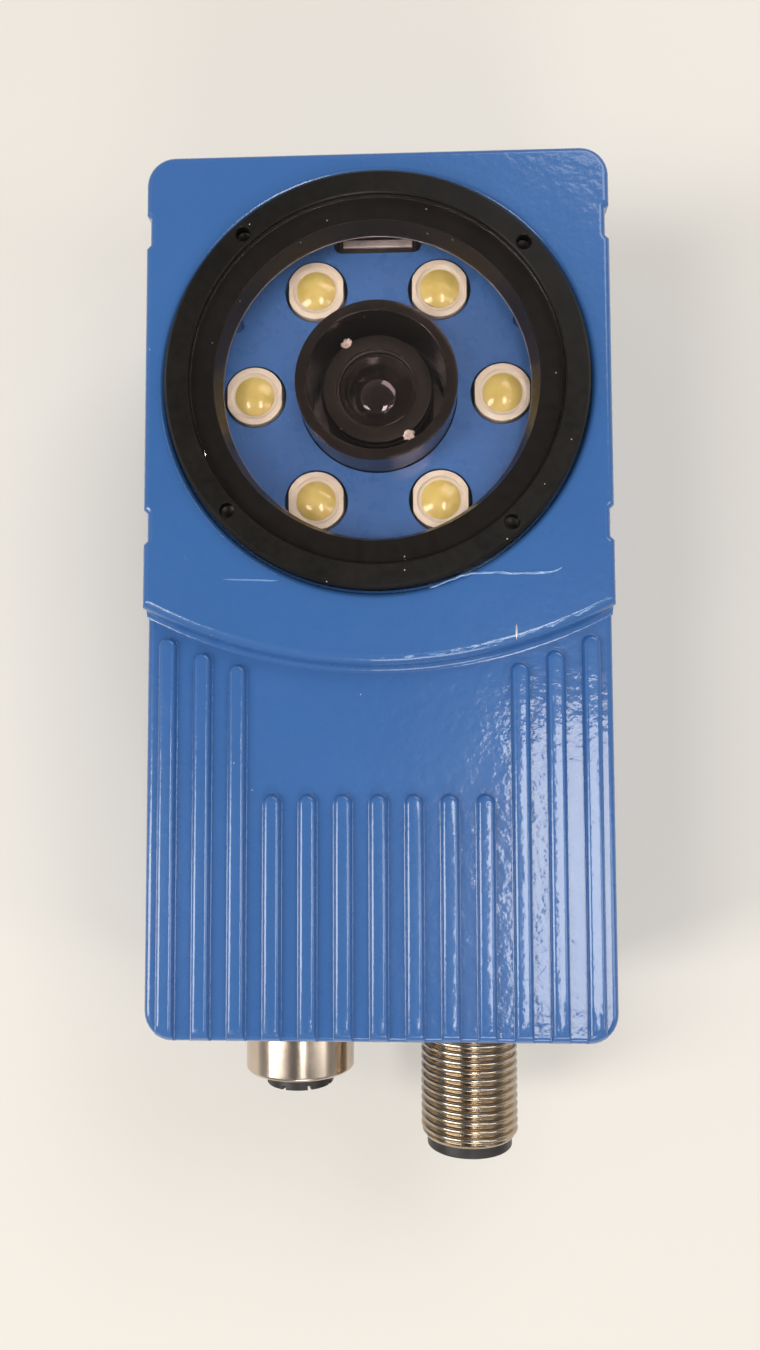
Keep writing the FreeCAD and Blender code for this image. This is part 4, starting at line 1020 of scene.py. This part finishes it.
anodised, anodised_tree, anodised_shader = finish("black_anodised", (0.0065, 0.0054, 0.0045),
                                                  (0.012, 0.01, 0.0082), 0.36, mottle=150.0)
anodised_shader.inputs["Specular IOR Level"].default_value = 0.22
turning_marks(anodised_tree, anodised_shader, window, 0.25, 0.0012)
dusted(anodised_tree, anodised_shader, 700.0, 0.055, 0.22)
dressed(barrel, anodised, "lens_carriage", ("lens_barrel",), sharp=30.0)

retainer_low_z = lowest("lens_retainer").z
retainer_top_z = highest("lens_retainer").z
retainer_radius = barrel_bore - 0.02
aperture = 2.37
mouth = 3.9
mouth_depth = 0.55
retainer = lathed("lens_retainer_ring", softened([
    (aperture, retainer_low_z, 0.03), (retainer_radius, retainer_low_z, 0.05),
    (retainer_radius, retainer_top_z, 0.12), (mouth, retainer_top_z, 0.08),
    (mouth - 0.5, retainer_top_z - mouth_depth, 0.05),
    (mouth - 0.62, retainer_top_z - mouth_depth, 0.05),
    (aperture + 0.12, retainer_low_z + 0.12, 0.06)]), 96, window.x, window.y)
dressed(retainer, sealed, "lens_carriage", ("lens_retainer",), sharp=25.0)

glue_places = ((6.38, 123.3), (6.5, -56.3))
glue_size = 0.74
glue_uneven = (-0.28, 0.12)
glue = []
for glue_radius, glue_angle in glue_places:
    glue_x, glue_y = on_circle(glue_radius, glue_angle)
    blob = lathed("glue", [(0, barrel_top_z - 0.3), (glue_size, barrel_top_z - 0.3),
                           (glue_size * 0.94, barrel_top_z - 0.05),
                           (glue_size * 0.6, barrel_top_z + 0.04),
                           (0, barrel_top_z + 0.06)], 24, glue_x, glue_y)
    for corner in blob.data.vertices:
        away = corner.co - Vector((glue_x, glue_y, corner.co.z / MM)) * MM
        corner.co += away * wear.uniform(*glue_uneven)
    glue.append(blob)
glue_dots = together(glue)
glue_dots.name = "glue_dots"
glue_finish, glue_tree, glue_shader = finish("locking_glue", (0.28, 0.25, 0.22),
                                             (0.75, 0.71, 0.65), 0.3, mottle=1200.0)
relief(glue_tree, glue_shader, link_noise(glue_tree, 2500.0, 2.0), 0.1)
dressed(glue_dots, glue_finish, "lens_carriage", sharp=60.0)


# --------------------------------------------------------------------------- Front lens
# A coated glass dome fills the aperture. Behind it the barrel is dark, so that it shows
# as black glass with small coloured reflections.
lens_top_z = highest("front_lens").z
lens_low_z = lowest("front_lens").z
lens_radius = half_across("front_lens")
lens_outline = [(0, lens_low_z), (lens_radius, lens_low_z), (lens_radius, retainer_low_z)]
lens_sag = lens_top_z - retainer_low_z
lens_outline += [((aperture - 0.02) * math.cos(math.radians(turn)),
                  retainer_low_z + lens_sag * math.sin(math.radians(turn)))
                 for turn in range(0, 90, 9)]
lens_outline.append((0, lens_top_z))
lens = lathed("front_lens_glass", lens_outline, 64, window.x, window.y)
lens_glass, _, lens_shader = finish("lens_glass", (0.004, 0.003, 0.004),
                                    (0.012, 0.008, 0.007), 0.03, mottle=250.0,
                                    spread_by=0.008)
lens_shader.inputs["Coat Weight"].default_value = 1.0
lens_shader.inputs["Coat Roughness"].default_value = 0.02
lens_shader.inputs["Coat IOR"].default_value = 1.8
lens_shader.inputs["Thin Film Thickness"].default_value = 330.0
lens_shader.inputs["Thin Film IOR"].default_value = 1.38
dressed(lens, lens_glass, "lens_carriage", ("front_lens",))


# -------------------------------------------------------------------------- Window ring
# The glass is held by a screwed ring, turned from aluminium and anodised black. It has
# a fine chamfer at each edge, a conical lip inside and four spanner holes.
ring_low_z, ring_top_z = lowest("window_ring").z, highest("window_ring").z
ring_radius = half_across("window_ring")
glass_low_z, glass_top_z = lowest("window_glass").z, highest("window_glass").z
glass_radius = half_across("window_glass")
ring_flange_z = 35.5
ring_thread = 22.35
ring_skirt = 20.6
lip_rear, lip_front = 17.7, 18.4
lip_low_z = glass_low_z - 2.6
rim_chamfer = 0.35
ring = lathed("window_ring_turned", softened([
    (glass_radius + 0.02, glass_low_z, 0.03), (glass_radius + 0.02, ring_top_z - 0.18, 0.02),
    (glass_radius + 0.2, ring_top_z, 0.02), (ring_radius - rim_chamfer, ring_top_z, 0.03),
    (ring_radius, ring_top_z - rim_chamfer, 0.05), (ring_radius, ring_flange_z, 0.05),
    (ring_thread, ring_flange_z, 0.05), (ring_thread, ring_low_z, 0.1),
    (ring_skirt, ring_low_z, 0.1), (ring_skirt, lip_low_z, 0.1),
    (lip_rear, lip_low_z, 0.12), (lip_rear + 0.05, lip_low_z + 0.4, 0.05),
    (lip_front, glass_low_z, 0.05)]), 224, window.x, window.y)
# A thin pale torus along the lip's rear edge is a painted highlight: a bright line drawn as
# lighter metal.
painted_lip_highlight = lathed("lip_edge", [
    (lip_rear + 0.08 + a, lip_low_z + 0.08 + b) for a, b in
    arc_points((0.0, 0.0), 0.1, 0, 315, 7)], 160, window.x, window.y)
spanner_count = 4
spanner_circle = 22.4
spanner_radius = 0.83
spanner_depth = 1.4
spanner_first_angle = 42.0
spanner_chamfer = 0.15
drills = lathed("drills", [(0, ring_top_z - spanner_depth - 0.3),
                           (spanner_radius, ring_top_z - spanner_depth),
                           (spanner_radius, ring_top_z - 0.1),
                           (spanner_radius + spanner_chamfer, ring_top_z + 0.05),
                           (spanner_radius + spanner_chamfer, ring_top_z + past),
                           (0, ring_top_z + past)], 32)
ringed(drills, anodised, spanner_count, spanner_circle, spanner_first_angle, window.x, window.y)
joined(ring, drills, "DIFFERENCE")
dressed(ring, anodised, nodes=("window_ring",), sharp=30.0)
lip_highlight_metal = finish("painted_lip_highlight", (0.16, 0.15, 0.14), (0.42, 0.4, 0.37), 0.35, 0.3, 300.0)[0]
dressed(painted_lip_highlight, lip_highlight_metal, sharp=60.0)


# ------------------------------------------------------------------------- Window glass
# A disc of clear hardened glass with ground edges. Its faint rose tint is painted shade:
# it darkens and greys the well floor seen through it. Light passes straight through it to
# the lamps and the lens.
glass_chamfer = 0.12
window_pane = lathed("window_pane", [
    (0, glass_low_z), (glass_radius - glass_chamfer, glass_low_z),
    (glass_radius, glass_low_z + glass_chamfer), (glass_radius, glass_top_z - glass_chamfer),
    (glass_radius - glass_chamfer, glass_top_z), (0, glass_top_z)], 160, window.x, window.y)
clear_glass = bpy.data.materials.new("window_glass")
clear_glass.use_nodes = True
glass_tree = clear_glass.node_tree
glass_shader = glass_tree.nodes["Principled BSDF"]
# The rose tint is painted shade for the well floor behind the glass.
glass_shader.inputs["Base Color"].default_value = (1.0, 0.84, 0.8, 1.0)
glass_shader.inputs["Transmission Weight"].default_value = 1.0
glass_shader.inputs["IOR"].default_value = 1.5
glass_tree.links.new(spread(glass_tree, link_noise(glass_tree, 200.0, 3.0), 0.0, 0.03),
                     glass_shader.inputs["Roughness"])
light_path = glass_tree.nodes.new("ShaderNodeLightPath")
clear_way = glass_tree.nodes.new("ShaderNodeBsdfTransparent")
pass_lamps = glass_tree.nodes.new("ShaderNodeMixShader")
glass_tree.links.new(light_path.outputs["Is Shadow Ray"], pass_lamps.inputs["Fac"])
glass_tree.links.new(glass_shader.outputs[0], pass_lamps.inputs[1])
glass_tree.links.new(clear_way.outputs[0], pass_lamps.inputs[2])
glass_tree.links.new(pass_lamps.outputs[0],
                     glass_tree.nodes["Material Output"].inputs["Surface"])
dressed(window_pane, clear_glass, nodes=("window_glass",))


# ------------------------------------------------------------------ Power plug's sleeve
# The power plug's sleeve is turned brass, nickel plated, with an M12 thread cut as one
# helix from the housing to its end.
thread_radius = 6.0
thread_pitch = 1.0
thread_depth = 0.5
thread_run_in = 0.3
thread_lead, thread_lead_slope = 0.7, 0.75
plug_end_y = lowest("plug_shell").y
plug_bore = 5.27
collar_radius = 6.9
flange_radius = 7.6
flange_rear, flange_front = 44.4, 46.0
stem_radius = 6.5
stem_rear = 41.5
thread_steps = 96
rows_each_turn = 16


def thread_height(phase):
    """Depth below the crest at a phase of the pitch, with a rounded crest and root."""
    return thread_depth * (0.5 - 0.5 * math.cos(2 * math.pi * phase)) ** 2.0


def threaded_sleeve(name, end_reach, root_reach, bore):
    """A sleeve with its thread, along its own +Z from root_reach to end_reach."""
    rows = int((end_reach - root_reach) / thread_pitch * rows_each_turn)
    outer = []
    for row in range(rows + 1):
        z = root_reach + (end_reach - root_reach) * row / rows
        ring = []
        for step in range(thread_steps):
            share = step / thread_steps
            phase = (z / thread_pitch + share) % 1.0
            fade = min(1.0, (z - root_reach) / thread_run_in)
            lead = max(0.0, z - (end_reach - thread_lead)) * thread_lead_slope
            radius = thread_radius - max(thread_height(phase) * fade, lead)
            turn = 2 * math.pi * share
            ring.append((radius * math.cos(turn), radius * math.sin(turn), z))
        outer.append(ring)
    inner = [[(bore * math.cos(2 * math.pi * step / thread_steps),
               bore * math.sin(2 * math.pi * step / thread_steps), z)
              for step in range(thread_steps)] for z in (end_reach, root_reach)]
    rings = outer + inner
    points = [point for ring in rings for point in ring]
    faces = []
    for level in range(len(rings)):
        start = level * thread_steps
        above = ((level + 1) % len(rings)) * thread_steps
        for index in range(thread_steps):
            after = (index + 1) % thread_steps
            faces.append((start + index, start + after, above + after, above + index))
    piece = new_piece(name, points, faces)
    outward(piece)
    return piece


def held_end(bore):
    """The corners of a sleeve's outline inside the housing, where its flange holds it."""
    return [(bore, stem_rear, 0.05), (stem_radius, stem_rear, 0.05),
            (stem_radius, flange_rear, 0.05), (flange_radius, flange_rear, 0.1),
            (flange_radius, flange_front, 0.1), (collar_radius, flange_front, 0.05)]


nickel = finish("nickel_plate", (0.44, 0.36, 0.27), (0.5, 0.415, 0.32), 0.18, 1.0, 60.0,
                0.01)[0]
plug_sleeve = threaded_sleeve("plug_sleeve", -plug_end_y, half_length, plug_bore)
laid_back(plug_sleeve, plug_axis.x, plug_axis.z)
collar_outline = softened(held_end(plug_bore) + [(collar_radius, half_length, 0.12),
                                                 (plug_bore, half_length, 0.02)])
collar = laid_back(lathed("collar", collar_outline, 96), plug_axis.x, plug_axis.z)
plug_sleeve = together([plug_sleeve, collar])
dressed(plug_sleeve, nickel, nodes=("plug_shell",), sharp=50.0)


# ------------------------------------------------------------------ Power plug's insert
# The black moulded insert stands out of the sleeve. Its cup holds two rings of gold pins
# and has a groove for the other plug's key.
insert_end = -lowest("plug_insert").y
insert_radius = 5.25
insert_bore = 4.3
insert_floor = insert_end - 8.0
middle_hole = 0.5
key_half, key_depth = 0.5, 0.5
key_floor = insert_floor + 0.2
insert = lathed("plug_carrier", softened([
    (insert_radius, stem_rear, 0.05), (insert_radius, insert_end, 0.25),
    (insert_bore, insert_end, 0.15), (insert_bore, insert_floor, 0.1),
    (middle_hole, insert_floor, 0.02), (middle_hole, stem_rear, 0.02)]), 96)
key_corners = [(-key_half, 0.0, 0.05), (key_half, 0.0, 0.05),
               (key_half, insert_bore + key_depth, 0.1),
               (-key_half, insert_bore + key_depth, 0.1)]
joined(insert, prism("key", key_corners, key_floor, insert_end + past, 3), "DIFFERENCE")
laid_back(insert, plug_axis.x, plug_axis.z)
dressed(insert, black_moulding, nodes=("plug_insert",), sharp=30.0)

pin_radius = 0.38
pin_rear = 39.2
pin_end = insert_end - 1.1
pin_rings = (("plug_pins_outer", 9, 2.75, 0.0), ("plug_pins_inner", 3, 1.05, 90.0))
pin_outline = [(0, pin_rear), (pin_radius, pin_rear)]
pin_outline += arc_points((0.0, pin_end - pin_radius), pin_radius, 0, 81, 5)
pin_outline.append((0, pin_end))
gold = finish("gold_contact", (0.75, 0.52, 0.17), (0.88, 0.66, 0.28), 0.2, 1.0, 800.0)[0]
rings_of_pins = []
for name, count, circle, first_angle in pin_rings:
    pin = lathed(name, pin_outline, 16)
    ringed(pin, gold, count, circle, first_angle)
    rings_of_pins.append(pin)
pins = laid_back(together(rings_of_pins), plug_axis.x, plug_axis.z)
pins.name = "plug_pins_gold"
dressed(pins, gold, nodes=("plug_pins",))


# --------------------------------------------------------------- Network socket, sleeve
# The network socket's sleeve is smooth outside, nickel plated and scuffed round its end
# by plugs. The thread is inside.
socket_end = -lowest("socket_sleeve").y
socket_radius = 6.75
socket_thread = 5.46
socket_bore = 4.17
socket_thread_end = socket_end - 8.3
socket_sleeve = lathed("socket_shell", softened(held_end(socket_bore) + [
    (collar_radius, half_length, 0.1), (socket_radius, half_length + 0.05, 0.05),
    (socket_radius, socket_end, 0.45), (socket_thread, socket_end, 0.2),
    (socket_thread, socket_thread_end, 0.1), (socket_bore, socket_thread_end, 0.05)], 5), 128)
laid_back(socket_sleeve, socket_axis.x, socket_axis.z)
scuffed, scuffed_tree, scuffed_shader = finish("scuffed_nickel", (0.56, 0.46, 0.38),
                                               (0.64, 0.54, 0.45), 0.2, 1.0, 120.0, 0.02)
stretch = scuffed_tree.nodes.new("ShaderNodeMapping")
stretch.inputs["Scale"].default_value = (60.0, 9000.0, 60.0)
scuffed_place = scuffed_tree.nodes["Texture Coordinate"]
scuffed_tree.links.new(scuffed_place.outputs["Object"], stretch.inputs["Vector"])
brushing = scuffed_tree.nodes.new("ShaderNodeTexNoise")
brushing.inputs["Scale"].default_value = 1.0
scuffed_tree.links.new(stretch.outputs[0], brushing.inputs["Vector"])
relief(scuffed_tree, scuffed_shader, brushing.outputs["Fac"], 0.0015)
dressed(socket_sleeve, scuffed, nodes=("socket_sleeve",), sharp=30.0)


# --------------------------------------------------------------- Network socket, insert
# The black contact carrier stands a little out of the sleeve. Its front collar is cut
# into eight teeth round four gold contacts.
carrier_end = -lowest("socket_insert").y
carrier_radius = 4.15
tooth_height = 1.0
tooth_wall = 0.9
tooth_count = 8
tooth_gap_half = 0.25
tooth_gap_depth = 0.5
tooth_gap_inner = 2.0
tooth_circle = 0.001
tooth_first_angle = 22.5
carrier_hole = 0.4
carrier_floor = carrier_end - tooth_height
carrier = lathed("socket_carrier", softened([
    (carrier_hole, stem_rear, 0.02), (carrier_radius, stem_rear, 0.05),
    (carrier_radius, carrier_end, 0.12), (carrier_radius - tooth_wall, carrier_end, 0.1),
    (carrier_radius - tooth_wall, carrier_floor, 0.05), (carrier_hole, carrier_floor, 0.02)]), 96)
# A slit is cut where it is and only turned, so the circle is next to nothing.
slits = prism("slits", oblong(tooth_gap_inner, -tooth_gap_half, carrier_radius + past,
                              tooth_gap_half, 0.05),
              carrier_end - tooth_gap_depth, carrier_end + past, 2)
ringed(slits, black_moulding, tooth_count, tooth_circle, tooth_first_angle, turned=1.0)
joined(carrier, slits, "DIFFERENCE")
laid_back(carrier, socket_axis.x, socket_axis.z)
dressed(carrier, black_moulding, nodes=("socket_insert",), sharp=30.0)

contact_bore, contact_radius = 0.3, 0.5
contact_front = carrier_floor - 0.5
contact_count, contact_circle, contact_first_angle = 4, 2.0, 45.0
contacts = lathed("socket_contacts_gold", softened([
    (contact_bore, pin_rear, 0.02), (contact_radius, pin_rear, 0.02),
    (contact_radius, contact_front, 0.1), (contact_bore, contact_front, 0.05)]), 20)
ringed(contacts, gold, contact_count, contact_circle, contact_first_angle)
laid_back(contacts, socket_axis.x, socket_axis.z)
dressed(contacts, gold, nodes=("socket_contacts",))


# ------------------------------------------------------------------------ Cover screws
# Six countersunk steel screws with hexagon sockets hold the rear cover. They bite in
# tapped columns inside the front casting.
screw_low_z = lowest("cover_screws").z
screw_tip_z = 11.0
screw_head, screw_shank, head_depth = 2.88, 1.48, 1.6
screw_core = 0.01
hexagon_radius, hexagon_depth = 1.155, 1.3
screw = lathed("cover_screw_set", softened([
    (screw_core, screw_low_z, 0.001), (screw_core, screw_tip_z, 0.001),
    (screw_shank, screw_tip_z, 0.2), (screw_shank, screw_low_z + head_depth, 0.1),
    (screw_head, screw_low_z + 0.15, 0.05), (screw_head - 0.1, screw_low_z, 0.05)]), 48)
hexagon = [(hexagon_radius * math.cos(math.radians(turn)),
            hexagon_radius * math.sin(math.radians(turn)), 0.03)
           for turn in range(0, 360, 60)]
joined(screw, prism("socket_cut", hexagon, screw_low_z - past, screw_low_z + hexagon_depth, 2),
       "DIFFERENCE")
screw_mesh = screw.data
screw.data = bpy.data.meshes.new("screw_places")
screw_edge, screw_to_end, screw_middle_y = 2.9, 5.0, -2.0
screw_x = highest("cover_screws").x - screw_edge
screw_places = [(side * screw_x, y) for side in (-1, 1)
                for y in (screw_to_end - half_length, screw_middle_y, half_length - screw_to_end)]
screw.data.from_pydata([(x * MM, y * MM, 0.0) for x, y in screw_places], [], [])
screw_pattern = bpy.data.objects.new("screw_pattern", screw_mesh)


def places_tree():
    """Copies of a pattern object at the piece's own points."""
    tree, given, result = node_tree_for("copies_at_places", [
        ("Pattern", "Object"), ("Material", "Material")])
    link = tree.links.new
    info = tree.nodes.new("GeometryNodeObjectInfo")
    link(given.outputs["Pattern"], info.inputs["Object"])
    copies = tree.nodes.new("GeometryNodeInstanceOnPoints")
    link(given.outputs["Geometry"], copies.inputs["Points"])
    link(info.outputs["Geometry"], copies.inputs["Instance"])
    real = tree.nodes.new("GeometryNodeRealizeInstances")
    link(copies.outputs[0], real.inputs[0])
    painted_end(tree, real.outputs[0], given, result)
    return tree


bright_steel = finish("bright_steel", (0.5, 0.5, 0.5), (0.68, 0.67, 0.66), 0.3, 1.0, 400.0,
                      0.1)[0]
grown(screw, places_tree(), {"Pattern": screw_pattern, "Material": bright_steel})
bpy.data.objects.remove(screw_pattern)
dressed(screw, bright_steel, nodes=("cover_screws",))


# ------------------------------------------------------------------------- Inner pieces
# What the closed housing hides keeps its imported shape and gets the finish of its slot.
# The focus screw shows its hexagon socket in the rear cover.
rubber = finish("black_rubber", (0.014, 0.014, 0.014), (0.03, 0.03, 0.03), 0.7,
                mottle=300.0)[0]
green_board = finish("board_green", (0.008, 0.06, 0.03), (0.015, 0.09, 0.045), 0.35,
                     mottle=350.0)[0]
chip_black = finish("chip_black", (0.02, 0.02, 0.022), (0.045, 0.045, 0.05), 0.5, mottle=900.0)[0]
plain_metal = finish("plain_aluminium", (0.6, 0.61, 0.62), (0.75, 0.75, 0.76), 0.35, 1.0,
                     200.0)[0]
pad_grey = finish("thermal_grey", (0.3, 0.32, 0.34), (0.42, 0.44, 0.46), 0.75, mottle=500.0)[0]
amber = finish("flex_amber", (0.42, 0.2, 0.04), (0.6, 0.32, 0.08), 0.3, mottle=400.0)[0]
sensor_finish = finish("sensor_die", (0.05, 0.055, 0.1), (0.12, 0.12, 0.2), 0.15,
                       mottle=700.0)[0]
finish_of_slot = {
    "blue_enamel": enamel, "black_anodised": anodised, "window_glass": clear_glass,
    "black_rubber": rubber, "bright_steel": bright_steel, "nickel_plate": nickel,
    "black_moulding": black_moulding, "board_green": green_board, "lamp_white": lamp_white,
    "lamp_phosphor": phosphor, "chip_black": chip_black, "gold_contact": gold,
    "plain_aluminium": plain_metal, "thermal_grey": pad_grey, "flex_amber": amber,
    "lens_glass": lens_glass, "sensor_die": sensor_finish}
for subpart in frame["record"]["subparts"]:
    for material_slot in frame["nodes"][subpart["node"]].material_slots:
        material_slot.material = finish_of_slot[subpart["material_slot"]]
